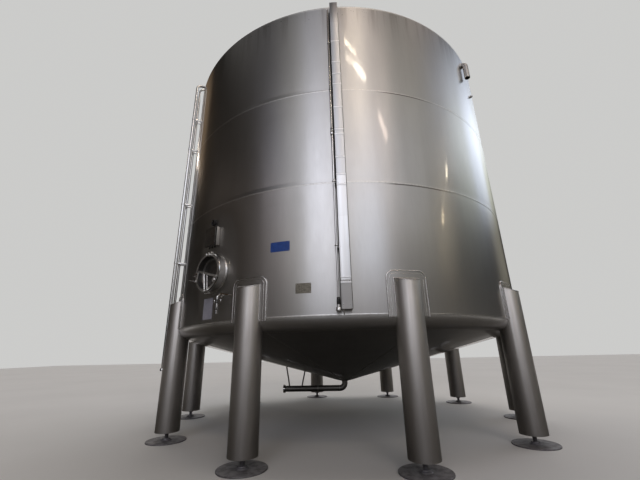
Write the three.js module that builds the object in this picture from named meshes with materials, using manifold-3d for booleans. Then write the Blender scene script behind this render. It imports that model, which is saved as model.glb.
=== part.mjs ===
// A vertical storage tank of stainless steel: a round shell of three courses with a shallow
// cone at each end, standing on ten pipe legs with screwed feet. The tank axis is Z, the
// floor is at height 0, and its front faces -Y. All sizes are in millimetres.
import * as THREE from 'three';
import { mergeVertices } from 'three/addons/utils/BufferGeometryUtils.js';
import Module from 'manifold-3d';

const wasm = await Module();
wasm.setup();
const { Manifold } = wasm;

const RADIUS = 3000;
const WALL = 5;
const SEAT_GAP = 0.3;
const FACET_COUNT = 90;
const ROUND_SIDES = 32;

// Heights of the welds round the shell
const BOTTOM_WELD = 1507;
const LOWER_SEAM = 3134;
const UPPER_SEAM = 4575;
const ROOF_WELD = 6170;

const BOTTOM_END = { knuckle: 160, slope: 14.75, weld: BOTTOM_WELD, facing: -1, arcSteps: 4 };
const ROOF_END = { knuckle: 45, slope: 10, weld: ROOF_WELD, facing: 1, arcSteps: 2 };

const LEG_COUNT = 10;
const LEG_PHASE = -111.5;
const LEG_CIRCLE = 2980;
const LEG_RADIUS = 162;
const LEG_BOTTOM = 117;
const LEG_TOP = 1914;
const LEG_TOP_SLOPE = 20;
const LEG_SIDES = 32;

const PAD = { width: 484, top: 1990, corner: 90, thickness: 8 };
const FOOT = { radius: 265, plate: 14, spindle: 25, nut: 42, nutHeight: 26 };

const PLATES_LOW = 5;
const PLATE_START = 22;

const MANWAY = {
  azimuth: -123.67, height: 2138, neck: 245, wall: 6, rim: 255, rimDepth: 15,
  face: 3112, inside: 2965,
};
const LUG = { side: 30, half: 9, low: 243, high: 278, depth: 40, bolt: 9 };
const DOOR = { radius: 250, sheet: 8, dish: 220, dishSheet: 6, depth: 85, corner: 20, clearance: 5 };
const HINGE = { out: 3085, side: -275, pin: 8, bore: 8.5, eye: 16, eyeHeight: 60, lug: 10 };

// The door's bar lies across it, turned a little, with a link and a hand screw at its left,
// two arms down to the lower knobs and a boss at its right
const CROSSBAR = { thick: 18, high: 24, left: -225, right: 212, tilt: -16.5, middle: [45, -30] };
const STRAP = { high: 36, thick: 14, end: -180 };
const LINK = { top: [-165, 34], bottom: [-198, -99], radius: 8 };
const SCREW = { knob: 19, knobDepth: 30, radius: 7, depth: 105 };
const ARMS = [[[-40, -5], [3, -245]], [[27, -24], [60, -240]]];
const ARM = { radius: 8, knob: 21, knobDepth: 28 };
const BOSS = { at: [186, -126], radius: 29, depth: 30 };
const TOP_CLAMP = { left: [-18, 232], right: [42, 226] };

const DUCT = { azimuth: -88.9, width: 118, standoff: 90, sheet: 4, bottom: 1560, top: 6165 };
const LEVEL_TUBE = { azimuth: -90.6, out: 3060, radius: 12, bottom: 1640, top: 6060, bend: 30 };
const LEVEL_CLAMPS = [2279, 3121, 4534, 5372];
const LEVEL_FITTINGS = { union: [3794, 3902, 22], cup: [1543, 1583, 30], neck: [1575, 1674, 20], branch: 15 };
const BOX = { azimuth: -125, width: 235, bottom: 2525, top: 2792, depth: 75 };
const PORT = { azimuth: -125.3, height: 2880, radius: 45, depth: 40, recess: 36, recessDepth: 12 };
const SAMPLE = { azimuth: -119.9, top: 1833, out: 3080, bottom: 1595, radius: 14, bend: 40 };
const SAMPLE_FITTINGS = {
  body: [1725, 1768, 24], union: [1640, 1675, 22],
  cross: { left: -50, right: 68, height: 1748, radius: 8 },
  lever: { out: 3045, end: 205, drop: 28, radius: 9 },
};
const RISERS = {
  riser_large: { azimuth: -152.6, out: 3128, radius: 26.5, inner: 2760 },
  riser_small: { azimuth: -154.3, out: 3073, radius: 20.5, inner: 2800 },
};
const RISER_BOTTOM = 900;
const RISER_TOP = 6400;
const RISER_BEND = 80;
const RISER_CLAMPS = [2600, 3700, 4850, 5550];
const SPOUT = { azimuth: -39, out: 3066, radius: 45, mouth: 5654, top: 5960 };
const OUTLET = { radius: 52, height: 485, end: -1150, bend: 90, union: 70, unionLength: 40 };
const HANGERS = [{ foot: -1030, waist: -1062, head: -1100 }, { foot: -810, waist: -778, head: -745 }];
const HATCH = { radius: 300, flange: 335, wall: 6, sunk: 30, rise: 120, lid: 25 };

const FACET = 360 / FACET_COUNT;
const radians = THREE.MathUtils.degToRad;

const brushed = new THREE.MeshStandardMaterial({ color: 0x9b9a96, roughness: 0.38, metalness: 1 });
const satin = new THREE.MeshStandardMaterial({ color: 0xa6a5a3, roughness: 0.45, metalness: 1 });
const polished = new THREE.MeshStandardMaterial({ color: 0xc9c9c7, roughness: 0.15, metalness: 1 });
const darkSteel = new THREE.MeshStandardMaterial({ color: 0x4b4a4c, roughness: 0.6, metalness: 0.8 });
const enamelBlue = new THREE.MeshStandardMaterial({ color: 0x1d4fa3, roughness: 0.35, metalness: 0 });
const brass = new THREE.MeshStandardMaterial({ color: 0x9a8e6c, roughness: 0.4, metalness: 0.8 });
const paper = new THREE.MeshStandardMaterial({ color: 0xc9c6d2, roughness: 0.9, metalness: 0 });
const darkPaint = new THREE.MeshStandardMaterial({ color: 0x37383a, roughness: 0.55, metalness: 0.2 });

const tank = new THREE.Group();

// Solids and meshes

function solidOf(geometry) {
  const bare = geometry.index ? geometry.toNonIndexed() : geometry.clone();
  bare.deleteAttribute('normal');
  bare.deleteAttribute('uv');
  const merged = mergeVertices(bare, 0.01);
  const index = merged.index.array;
  const triangles = [];
  for (let i = 0; i < index.length; i += 3) {
    const [a, b, c] = index.slice(i, i + 3);
    if (a !== b && b !== c && c !== a) triangles.push(a, b, c);
  }
  return new Manifold(new wasm.Mesh({
    numProp: 3,
    vertProperties: Float32Array.from(merged.attributes.position.array),
    triVerts: Uint32Array.from(triangles),
  }));
}

function geometryOf(solid) {
  const mesh = solid.getMesh();
  const geometry = new THREE.BufferGeometry();
  geometry.setAttribute('position', new THREE.BufferAttribute(mesh.vertProperties, 3));
  geometry.setIndex(new THREE.BufferAttribute(mesh.triVerts, 1));
  geometry.computeVertexNormals();
  return geometry;
}

function addPiece(name, solid, material, parent = tank) {
  const mesh = new THREE.Mesh(geometryOf(solid), material);
  mesh.name = name;
  parent.add(mesh);
}

function unite(...solids) {
  return solids.reduce((whole, next) => whole.add(next));
}

// Basic shapes, given by their limits or their ends

function block(x0, x1, y0, y1, z0, z1) {
  const geometry = new THREE.BoxGeometry(x1 - x0, y1 - y0, z1 - z0);
  return solidOf(geometry.translate((x0 + x1) / 2, (y0 + y1) / 2, (z0 + z1) / 2));
}

function rod(from, to, radius, sides = 12) {
  const start = new THREE.Vector3(...from);
  const along = new THREE.Vector3(...to).sub(start);
  const geometry = new THREE.CylinderGeometry(radius, radius, along.length(), sides);
  geometry.translate(0, along.length() / 2, 0);
  const turn = new THREE.Quaternion();
  turn.setFromUnitVectors(new THREE.Vector3(0, 1, 0), along.clone().normalize());
  return solidOf(geometry.applyQuaternion(turn).translate(start.x, start.y, start.z));
}

// A route of straight runs joined by round bends, as evenly counted stations
class PipeRoute extends THREE.Curve {
  constructor(corners, bend, bendSteps = 5) {
    super();
    this.stations = [];
    const points = corners.map((corner) => new THREE.Vector3(...corner));
    const direction = (i) => points[i + 1].clone().sub(points[i]).normalize();
    this.addStation(points[0], direction(0));
    for (let i = 1; i < points.length - 1; i += 1) {
      this.addBend(points[i], direction(i - 1), direction(i), bend, bendSteps);
    }
    this.addStation(points[points.length - 1], direction(points.length - 2));
  }

  addStation(point, tangent) {
    this.stations.push({ point: point.clone(), tangent: tangent.clone() });
  }

  addBend(corner, before, after, bend, bendSteps) {
    const angle = before.angleTo(after);
    const reach = bend * Math.tan(angle / 2);
    const start = corner.clone().addScaledVector(before, -reach);
    const axis = before.clone().cross(after).normalize();
    const toCentre = axis.clone().cross(before);
    const centre = start.clone().addScaledVector(toCentre, bend);
    for (let step = 0; step <= bendSteps; step += 1) {
      const turn = (angle * step) / bendSteps;
      const spoke = toCentre.clone().multiplyScalar(-bend).applyAxisAngle(axis, turn);
      this.addStation(centre.clone().add(spoke), before.clone().applyAxisAngle(axis, turn));
    }
  }

  at(t) {
    return this.stations[Math.round(t * (this.stations.length - 1))];
  }

  getPoint(t, target = new THREE.Vector3()) {
    return target.copy(this.at(t).point);
  }

  getPointAt(t, target) {
    return this.getPoint(t, target);
  }

  getTangent(t, target = new THREE.Vector3()) {
    return target.copy(this.at(t).tangent);
  }

  getTangentAt(t, target) {
    return this.getTangent(t, target);
  }
}

function pipe(corners, radius, bend, sides = 12) {
  const route = new PipeRoute(corners, bend);
  const ring = [];
  for (let i = 0; i < sides; i += 1) {
    const turn = (2 * Math.PI * i) / sides;
    ring.push(new THREE.Vector2(radius * Math.cos(turn), radius * Math.sin(turn)));
  }
  const steps = route.stations.length - 1;
  const options = { steps, bevelEnabled: false, extrudePath: route };
  return solidOf(new THREE.ExtrudeGeometry(new THREE.Shape(ring), options));
}

// Revolved solids: a profile is a list of [radius, height] that closes on itself or on the axis

function revolve(profile, segments = FACET_COUNT, startAzimuth = LEG_PHASE + FACET / 2) {
  const points = profile.map(([radius, height]) => new THREE.Vector2(radius, height));
  if (THREE.ShapeUtils.area(points) < 0) points.reverse();
  const geometry = new THREE.LatheGeometry(points, segments, radians(startAzimuth + 90));
  return solidOf(geometry.rotateX(Math.PI / 2));
}

function closedRing(profile) {
  return revolve([...profile, profile[0]]);
}

// The outer surface of a cone end, moved out by offset, from its weld towards the axis
function endProfile(end, offset) {
  const slope = radians(end.slope);
  const centreRadius = RADIUS - end.knuckle;
  const points = [];
  for (let step = 0; step <= end.arcSteps; step += 1) {
    const turn = ((Math.PI / 2 - slope) * step) / end.arcSteps;
    const spoke = end.knuckle + offset;
    const height = end.weld + end.facing * spoke * Math.sin(turn);
    points.push([centreRadius + spoke * Math.cos(turn), height]);
  }
  return points;
}

function coneHeight(end, offset, radius) {
  const [edgeRadius, edgeHeight] = endProfile(end, offset).at(-1);
  return edgeHeight + end.facing * (edgeRadius - radius) * Math.tan(radians(end.slope));
}

// Parts of the faceted shell

function shellDistance(radius, azimuth) {
  const offset = THREE.MathUtils.euclideanModulo(azimuth - LEG_PHASE + FACET / 2, FACET);
  return (radius * Math.cos(radians(FACET / 2))) / Math.cos(radians(offset - FACET / 2));
}

function band(inner, outer, from, to, bottom, top) {
  const azimuths = [from];
  const firstCorner = Math.floor((from - LEG_PHASE) / FACET - 0.5 + 1);
  for (let k = firstCorner; LEG_PHASE + (k + 0.5) * FACET < to; k += 1) {
    azimuths.push(LEG_PHASE + (k + 0.5) * FACET);
  }
  azimuths.push(to);
  const corner = (radius) => (azimuth) => {
    const reach = shellDistance(radius, azimuth);
    const turn = radians(azimuth);
    return new THREE.Vector2(reach * Math.cos(turn), reach * Math.sin(turn));
  };
  const outline = [
    ...azimuths.map(corner(outer)),
    ...azimuths.map(corner(inner)).reverse(),
  ];
  const options = { depth: top - bottom, bevelEnabled: false };
  const geometry = new THREE.ExtrudeGeometry(new THREE.Shape(outline), options);
  return solidOf(geometry.translate(0, 0, bottom));
}

// A plate bent to the shell, with its upper corners, or all four, rounded
function bentPlate(azimuth, width, bottom, top, inner, outer, corner, roundBottom = false) {
  const half = width / 2;
  const shape = new THREE.Shape();
  const low = roundBottom ? corner : 0;
  shape.moveTo(-half, bottom + low);
  if (roundBottom) shape.absarc(-half + corner, bottom + corner, corner, Math.PI, 1.5 * Math.PI);
  else shape.lineTo(-half, bottom);
  if (roundBottom) shape.absarc(half - corner, bottom + corner, corner, 1.5 * Math.PI, 2 * Math.PI);
  else shape.lineTo(half, bottom);
  shape.absarc(half - corner, top - corner, corner, 0, Math.PI / 2);
  shape.absarc(-half + corner, top - corner, corner, Math.PI / 2, Math.PI);
  const options = { depth: 200, bevelEnabled: false, curveSegments: 3 };
  const geometry = new THREE.ExtrudeGeometry(shape, options);
  const sideways = new THREE.Vector3(0, 1, 0);
  const up = new THREE.Vector3(0, 0, 1);
  const out = new THREE.Vector3(1, 0, 0);
  geometry.applyMatrix4(new THREE.Matrix4().makeBasis(sideways, up, out));
  geometry.translate(RADIUS - 100, 0, 0).rotateZ(radians(azimuth));
  const reach = THREE.MathUtils.radToDeg(half / RADIUS) + 0.5;
  const sheet = band(inner, outer, azimuth - reach, azimuth + reach, bottom - 1, top + 1);
  return sheet.intersect(solidOf(geometry));
}

// What the outside of the tank fills, seen from a site turned to an azimuth
const shellEnvelope = (() => {
  const outer = RADIUS + SEAT_GAP;
  const profile = [[0, BOTTOM_WELD - 100], [outer, BOTTOM_WELD - 100]];
  return revolve([...profile, [outer, ROOF_WELD + 50], [0, ROOF_WELD + 50]]);
})();

const legEnvelope = (() => {
  const underside = endProfile(BOTTOM_END, SEAT_GAP).reverse();
  const padded = RADIUS + PAD.thickness + SEAT_GAP;
  const apex = [0, coneHeight(BOTTOM_END, SEAT_GAP, 0)];
  const edge = BOTTOM_WELD - SEAT_GAP;
  const last = underside.at(-1);
  const above = [[last[0], edge], [padded, edge], [padded, PAD.top + 200], [0, PAD.top + 200]];
  return revolve([apex, ...underside.slice(0, -1), ...above]);
})();

const roofEnvelope = (() => {
  const upper = endProfile(ROOF_END, SEAT_GAP);
  const low = ROOF_WELD - 200;
  const apex = [0, coneHeight(ROOF_END, SEAT_GAP, 0)];
  return revolve([[0, low], [RADIUS + SEAT_GAP, low], ...upper, apex]);
})();

function siteAt(azimuth) {
  const site = new THREE.Group();
  site.rotation.z = radians(azimuth);
  tank.add(site);
  return site;
}

function seated(solid, azimuth, envelope = shellEnvelope) {
  return solid.subtract(envelope.rotate([0, 0, -azimuth]));
}

// Shell, bottom and roof

function addLowerCourse() {
  const span = 360 / PLATES_LOW;
  const joint = THREE.MathUtils.radToDeg(SEAT_GAP / 2 / RADIUS);
  const hole = rod([MANWAY.inside - 50, 0, MANWAY.height], [MANWAY.face, 0, MANWAY.height],
    MANWAY.neck + SEAT_GAP, ROUND_SIDES).rotate([0, 0, MANWAY.azimuth]);
  for (let i = 0; i < PLATES_LOW; i += 1) {
    const from = LEG_PHASE + PLATE_START - span + i * span;
    const bottom = BOTTOM_WELD;
    let plate = band(RADIUS - WALL, RADIUS, from + joint, from + span - joint, bottom,
      LOWER_SEAM - SEAT_GAP);
    for (let k = 0; k < LEG_COUNT; k += 1) {
      const azimuth = LEG_PHASE + (k * 360) / LEG_COUNT;
      const inPlate = THREE.MathUtils.euclideanModulo(azimuth - from, 360) < span;
      if (inPlate) {
        const outer = RADIUS + PAD.thickness;
        plate = plate.add(bentPlate(azimuth, PAD.width, bottom, PAD.top, RADIUS - WALL / 2, outer,
          PAD.corner));
      }
    }
    if (i === 0) plate = plate.subtract(hole);
    addPiece(`shell_lower_${i + 1}`, plate, brushed);
  }
}

function addUpperCourses() {
  const courses = {
    shell_middle: [LOWER_SEAM, UPPER_SEAM - SEAT_GAP],
    shell_upper: [UPPER_SEAM, ROOF_WELD - SEAT_GAP],
  };
  for (const [name, [bottom, top]] of Object.entries(courses)) {
    const inner = RADIUS - WALL;
    const profile = [[inner, bottom], [RADIUS, bottom], [RADIUS, top], [inner, top]];
    addPiece(name, closedRing(profile), brushed);
  }
}

function addBottom() {
  const top = BOTTOM_WELD - SEAT_GAP;
  const outer = endProfile(BOTTOM_END, 0);
  const inner = endProfile(BOTTOM_END, -WALL);
  outer[0][1] = top;
  inner[0][1] = top;
  addPiece('bottom_knuckle', closedRing([...outer, ...inner.reverse()]), brushed);

  const edge = endProfile(BOTTOM_END, 0).at(-1)[0] - 2 * SEAT_GAP;
  const hole = OUTLET.radius + SEAT_GAP;
  addPiece('bottom_cone', closedRing([
    [hole, coneHeight(BOTTOM_END, 0, hole)],
    [edge, coneHeight(BOTTOM_END, 0, edge)],
    [edge - WALL * Math.sin(radians(BOTTOM_END.slope)),
      coneHeight(BOTTOM_END, 0, edge) + WALL * Math.cos(radians(BOTTOM_END.slope))],
    [hole, coneHeight(BOTTOM_END, -WALL, hole)],
  ]), brushed);
}

function addRoof() {
  const outer = endProfile(ROOF_END, 0);
  const inner = endProfile(ROOF_END, -WALL);
  const hole = HATCH.radius + SEAT_GAP;
  const outerEdge = [hole, coneHeight(ROOF_END, 0, hole)];
  const innerEdge = [hole, coneHeight(ROOF_END, -WALL, hole)];
  addPiece('roof', closedRing([...outer, outerEdge, innerEdge, ...inner.reverse()]), brushed);

  const seat = coneHeight(ROOF_END, 0, HATCH.radius);
  const rim = seat + HATCH.rise;
  const { radius, wall, flange, lid } = HATCH;
  addPiece('roof_hatch', revolve([
    [0, rim + lid], [flange, rim + lid], [flange, rim], [radius, rim], [radius, seat - HATCH.sunk],
    [radius - wall, seat - HATCH.sunk], [radius - wall, rim + lid - wall], [0, rim + lid - wall],
  ], ROUND_SIDES), satin);
}

// Legs and feet

function addLegs() {
  const reach = 400;
  for (let k = 0; k < LEG_COUNT; k += 1) {
    const azimuth = LEG_PHASE + (k * 360) / LEG_COUNT;
    const site = siteAt(azimuth);
    const post = rod([LEG_CIRCLE, 0, LEG_BOTTOM], [LEG_CIRCLE, 0, PAD.top], LEG_RADIUS, LEG_SIDES);
    const above = block(-reach, reach, -reach, reach, 0, reach)
      .rotate([0, LEG_TOP_SLOPE, 0])
      .translate([LEG_CIRCLE, 0, LEG_TOP]);
    addPiece(`leg_${k + 1}`, seated(post.subtract(above), azimuth, legEnvelope), satin, site);

    const nutBottom = LEG_BOTTOM - SEAT_GAP - FOOT.nutHeight;
    addPiece(`foot_${k + 1}`, unite(
      rod([LEG_CIRCLE, 0, 0], [LEG_CIRCLE, 0, FOOT.plate], FOOT.radius, ROUND_SIDES),
      rod([LEG_CIRCLE, 0, FOOT.plate / 2], [LEG_CIRCLE, 0, nutBottom + 5], FOOT.spindle),
      rod([LEG_CIRCLE, 0, nutBottom], [LEG_CIRCLE, 0, nutBottom + FOOT.nutHeight], FOOT.nut, 6),
    ), darkSteel, site);
  }
}

// Manway: its neck with the hinge and clamp lugs, and the door on its crossbar

function hingeLugs() {
  const { out, side, pin, eye, eyeHeight, lug } = HINGE;
  const clear = eyeHeight / 2 + 3;
  const half = clear + lug;
  const lugs = [1, -1].map((way) => {
    const [low, high] = [way * clear, way * half].sort((a, b) => a - b);
    return block(out - eye, out + eye, side - eye, 4 - MANWAY.neck, MANWAY.height + low,
      MANWAY.height + high);
  });
  const pinRod = rod([out, side, MANWAY.height - half - pin], [out, side, MANWAY.height + half + pin],
    pin);
  return unite(...lugs, pinRod);
}

// A pair of cheeks with a bolt between them behind the rim, above or below the neck
function clampLug(way) {
  const { side, half, low, high, depth, bolt } = LUG;
  const back = MANWAY.face - depth;
  const cheeks = [-side, side].map((at) => block(back, MANWAY.face - 2, at - half, at + half, low, high));
  const across = side + half + 5;
  const height = high - 2 * bolt;
  const pinRod = rod([back + 2 * bolt, -across, height], [back + 2 * bolt, across, height], bolt);
  return unite(...cheeks, pinRod).rotate([way > 0 ? 0 : 180, 0, 0]).translate([0, 0, MANWAY.height]);
}

function addManwayNeck(site) {
  const { height, neck, wall, rim, rimDepth, face, inside } = MANWAY;
  const ring = unite(
    rod([inside, 0, height], [face, 0, height], neck, ROUND_SIDES),
    rod([face - rimDepth, 0, height], [face, 0, height], rim, ROUND_SIDES),
  ).subtract(rod([inside - 10, 0, height], [face + 10, 0, height], neck - wall, ROUND_SIDES));
  addPiece('manway_neck', unite(ring, hingeLugs(), clampLug(1), clampLug(-1)), polished, site);
}

// A place on the face of the door, given across and up from its middle
function onFace([across, up], out) {
  return [out, across, MANWAY.height + up];
}

function addManwayDoor(site) {
  const { height, face } = MANWAY;
  const { radius, sheet, dish, dishSheet, depth, corner, clearance } = DOOR;
  const back = face + clearance;
  const front = back + sheet;
  const bottom = face - depth;
  const inner = dish - dishSheet;
  const lid = revolve([
    [0, bottom], [dish - corner, bottom], [dish, bottom + corner], [dish, back], [radius, back],
    [radius, front], [inner, front], [inner, bottom + corner + dishSheet],
    [inner - corner, bottom + dishSheet], [0, bottom + dishSheet],
  ], ROUND_SIDES, 0).rotate([0, 90, 0]).translate([0, 0, height]);
  addPiece('manway_door', lid, darkSteel, site);

  const seat = front + SEAT_GAP;
  const middle = seat + CROSSBAR.thick / 2;
  const knob = (at, size, length) => rod(onFace(at, seat), onFace(at, seat + length), size, 16);
  addPiece('manway_clamp', unite(
    knob(TOP_CLAMP.left, ARM.knob, ARM.knobDepth),
    knob(TOP_CLAMP.right, ARM.knob, ARM.knobDepth),
    rod(onFace(TOP_CLAMP.left, middle), onFace(TOP_CLAMP.right, middle), ARM.radius),
  ), polished, site);

  const { thick, high, left, right, tilt, middle: [across, up] } = CROSSBAR;
  const { out, side, eye, eyeHeight } = HINGE;
  const plank = block(seat, seat + thick, left, right, -high / 2, high / 2)
    .rotate([tilt, 0, 0])
    .translate([0, across, height + up]);
  const [low, top] = [height - STRAP.high / 2, height + STRAP.high / 2];
  const strap = unite(
    rod([out, side, height - eyeHeight / 2], [out, side, height + eyeHeight / 2], eye),
    block(out, seat + STRAP.thick, side - eye, side + eye - 3, low, top),
    block(seat, seat + STRAP.thick, side - eye, STRAP.end, low, top),
  );
  const [bossAcross, bossUp] = BOSS.at;
  const arms = ARMS.flatMap(([head, end]) => [
    rod(onFace(head, middle), onFace(end, middle), ARM.radius),
    knob(end, ARM.knob, ARM.knobDepth),
  ]);
  const bar = unite(
    plank,
    strap,
    rod(onFace(LINK.top, middle), onFace(LINK.bottom, middle), LINK.radius),
    knob(LINK.bottom, SCREW.knob, SCREW.knobDepth),
    rod(onFace(LINK.bottom, seat + 5), onFace(LINK.bottom, seat + SCREW.depth), SCREW.radius),
    ...arms,
    knob(BOSS.at, BOSS.radius, BOSS.depth),
    block(seat + 3, seat + thick - 3, bossAcross - 9, bossAcross + 9, height + bossUp, height + up - 40),
  );
  const bore = rod([out, side, height - eyeHeight], [out, side, height + eyeHeight], HINGE.bore);
  addPiece('manway_crossbar', bar.subtract(bore), polished, site);
}

function addManway() {
  const site = siteAt(MANWAY.azimuth);
  addManwayNeck(site);
  addManwayDoor(site);
}

// Duct and tubes that run up the shell

function addDuct() {
  const { azimuth, width, standoff, sheet, bottom, top } = DUCT;
  const front = RADIUS + standoff;
  const half = width / 2;
  const outside = block(RADIUS - 50, front, -half, half, bottom, top);
  const inside = block(RADIUS - 60, front - sheet, -half + sheet, half - sheet, bottom - 10, top - sheet);
  addPiece('cable_duct', seated(outside.subtract(inside), azimuth), satin, siteAt(azimuth));
}

function addLevelTube() {
  const { azimuth, out, radius, bottom, top, bend } = LEVEL_TUBE;
  const inWall = RADIUS - 20;
  const clamps = LEVEL_CLAMPS.map((z) => block(inWall, out, -8, 8, z - 7, z + 7));
  const upright = (low, high, size) => rod([out, 0, low], [out, 0, high], size, 16);
  const tube = unite(
    pipe([[out, 0, bottom], [out, 0, top], [inWall, 0, top]], radius, bend),
    ...clamps,
    upright(...LEVEL_FITTINGS.union),
    upright(...LEVEL_FITTINGS.cup),
    upright(...LEVEL_FITTINGS.neck),
    rod([inWall, 0, bottom], [out, 0, bottom], LEVEL_FITTINGS.branch),
  );
  addPiece('level_tube', seated(tube, azimuth), polished, siteAt(azimuth));
}

function addRisers() {
  for (const [name, riser] of Object.entries(RISERS)) {
    const { azimuth, out, radius, inner } = riser;
    const roofAt = coneHeight(ROOF_END, 0, inner);
    const route = [[out, 0, RISER_BOTTOM], [out, 0, RISER_TOP], [inner, 0, RISER_TOP],
      [inner, 0, roofAt - 30]];
    const clamps = RISER_CLAMPS.map((z) => block(RADIUS - 20, out + radius + 4, -12, 12, z - 15, z + 15));
    const union = rod([out, 0, RISER_BOTTOM], [out, 0, RISER_BOTTOM + 40], radius + 12, 20);
    const whole = unite(pipe(route, radius, RISER_BEND), ...clamps, union);
    const onRoof = seated(whole, azimuth, roofEnvelope);
    addPiece(name, seated(onRoof, azimuth), polished, siteAt(azimuth));
  }
}

function addSpout() {
  const { azimuth, out, radius, mouth, top } = SPOUT;
  const bend = 62;
  const tube = pipe([[RADIUS - 20, 0, top], [out, 0, top], [out, 0, mouth]], radius, bend, 20);
  const bore = rod([out, 0, mouth - 10], [out, 0, top - bend], radius - 3, 20);
  addPiece('overflow_spout', seated(tube.subtract(bore), azimuth), brushed, siteAt(azimuth));
}

// Fittings and plates on the shell

function addFittings() {
  const box = block(RADIUS - 20, RADIUS + BOX.depth, -BOX.width / 2, BOX.width / 2, BOX.bottom, BOX.top);
  addPiece('instrument_box', seated(box, BOX.azimuth), satin, siteAt(BOX.azimuth));

  const { azimuth, height, radius, depth, recess, recessDepth } = PORT;
  const port = rod([RADIUS - 20, 0, height], [RADIUS + depth, 0, height], radius, 24)
    .subtract(rod([RADIUS + depth - recessDepth, 0, height], [RADIUS + depth + 5, 0, height], recess, 24));
  addPiece('sight_port', seated(port, azimuth), darkPaint, siteAt(azimuth));
}

function addSampleValve() {
  const { azimuth, top, out, bottom, radius, bend } = SAMPLE;
  const upright = (low, high, size) => rod([out, 0, low], [out, 0, high], size);
  const { body, union, cross, lever } = SAMPLE_FITTINGS;
  const valve = unite(
    pipe([[RADIUS - 20, 0, top], [out, 0, top], [out, 0, bottom]], radius, bend, 14),
    upright(...body),
    upright(...union),
    rod([out, cross.left, cross.height], [out, cross.right, cross.height], cross.radius),
    rod([lever.out, 0, top + 6], [lever.out, lever.end, top + 6 - lever.drop], lever.radius),
  );
  addPiece('sample_valve', seated(valve, azimuth), polished, siteAt(azimuth));
}

function addPlates() {
  const inner = RADIUS + SEAT_GAP;
  const plates = [
    ['id_tag', -103.8, 252, 2283, 2407, 2, 8, enamelBlue],
    ['name_plate', -98.2, 185, 1761, 1878, 2, 6, brass],
    ['paper_label', -125.4, 210, 1550, 1825, 1, 3, paper],
  ];
  for (const [name, azimuth, width, bottom, top, thickness, corner, material] of plates) {
    const outer = inner + thickness;
    addPiece(name, bentPlate(azimuth, width, bottom, top, inner, outer, corner, true), material);
  }
}

// Outlet under the bottom, carried at its far end by two bent hangers

function addOutlet() {
  const { radius, height, end, bend, union, unionLength } = OUTLET;
  const sunk = coneHeight(BOTTOM_END, 0, radius) + 15;
  const run = pipe([[0, 0, sunk], [0, 0, height], [end, 0, height]], radius, bend, 16);
  const hangers = HANGERS.map(({ foot, waist, head }) => {
    const under = coneHeight(BOTTOM_END, 0, -head);
    return pipe([[foot, 0, height], [waist, 0, (height + under) / 2], [head, 0, under + 30]], 10, 300, 8);
  });
  const joint = rod([end, 0, height], [end + unionLength, 0, height], union, 24);
  const hole = OUTLET.radius + SEAT_GAP;
  const far = 2400;
  const cone = closedRing([
    [hole, coneHeight(BOTTOM_END, SEAT_GAP, hole)], [far, coneHeight(BOTTOM_END, SEAT_GAP, far)],
    [far, 2000], [hole, 2000],
  ]);
  addPiece('outlet_pipe', unite(run, joint, ...hangers).subtract(cone), satin);
}

addLowerCourse();
addUpperCourses();
addBottom();
addRoof();
addLegs();
addManway();
addDuct();
addLevelTube();
addRisers();
addSpout();
addFittings();
addSampleValve();
addPlates();
addOutlet();

export default tank;
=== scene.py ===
"""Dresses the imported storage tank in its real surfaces, and sets it in a plain studio.

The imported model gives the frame: its bodies, nodes, joint and sizes. Each sub-assembly below
is a class that keeps its own sizes, in metres and degrees, builds its meshes as a fabricator
would, and gives each the finish of the record's material slot.
"""

import logging
import math
from collections.abc import Callable, Iterator, Sequence
from contextlib import contextmanager
from dataclasses import dataclass
from enum import Enum

import bmesh
import bpy
from mathutils import Matrix, Vector


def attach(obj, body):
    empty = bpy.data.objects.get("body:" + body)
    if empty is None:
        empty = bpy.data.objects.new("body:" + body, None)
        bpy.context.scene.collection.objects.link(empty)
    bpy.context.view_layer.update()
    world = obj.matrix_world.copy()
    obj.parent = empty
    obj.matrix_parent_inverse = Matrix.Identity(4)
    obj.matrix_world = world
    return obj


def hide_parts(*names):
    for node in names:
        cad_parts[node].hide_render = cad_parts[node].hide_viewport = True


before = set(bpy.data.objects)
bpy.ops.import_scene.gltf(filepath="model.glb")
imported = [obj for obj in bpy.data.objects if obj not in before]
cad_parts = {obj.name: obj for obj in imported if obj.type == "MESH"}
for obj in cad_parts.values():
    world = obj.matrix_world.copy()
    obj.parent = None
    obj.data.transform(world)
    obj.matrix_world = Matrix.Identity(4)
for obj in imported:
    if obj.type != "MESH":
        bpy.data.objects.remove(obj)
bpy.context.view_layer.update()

log = logging.getLogger("tank")

Point = tuple[float, float, float]
Pair = tuple[float, float]
Colour = tuple[float, float, float]
Piece = bpy.types.Object
Socket = bpy.types.NodeSocket
Look = tuple[Socket, Socket]

RADIUS = 3.0
WALL = 0.005
BOTTOM_WELD = 1.507
LOWER_SEAM = 3.134
UPPER_SEAM = 4.575
ROOF_WELD = 6.170
LEG_COUNT = 10
LEG_PHASE = -111.5
ROUND_STEPS = 240
UPWARDS = (0.0, 0.0, 1.0)
OUTWARDS = (1.0, 0.0, 0.0)
NOISE_CORE = (0.3, 0.7)
MERGE = 1e-5
SMOOTH_LIMIT = 35.0
WELD_LIMIT = 50.0


class Body(Enum):
    """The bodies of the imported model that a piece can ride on."""

    TANK = "tank"
    DOOR = "door"


class Slot(Enum):
    """The record's material slots."""

    BRUSHED = "brushed_stainless"
    SATIN = "satin_stainless"
    POLISHED = "polished_stainless"
    DARK_STEEL = "dark_steel"
    ENAMEL = "blue_enamel"
    ETCHED = "brass_plate"
    PAPER = "label_paper"
    PAINT = "dark_paint"


# Work on meshes


def clear_selection() -> None:
    """Leaves edit mode and deselects every object."""
    if bpy.context.mode != "OBJECT":
        bpy.ops.object.mode_set(mode="OBJECT")
    bpy.ops.object.select_all(action="DESELECT")


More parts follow.
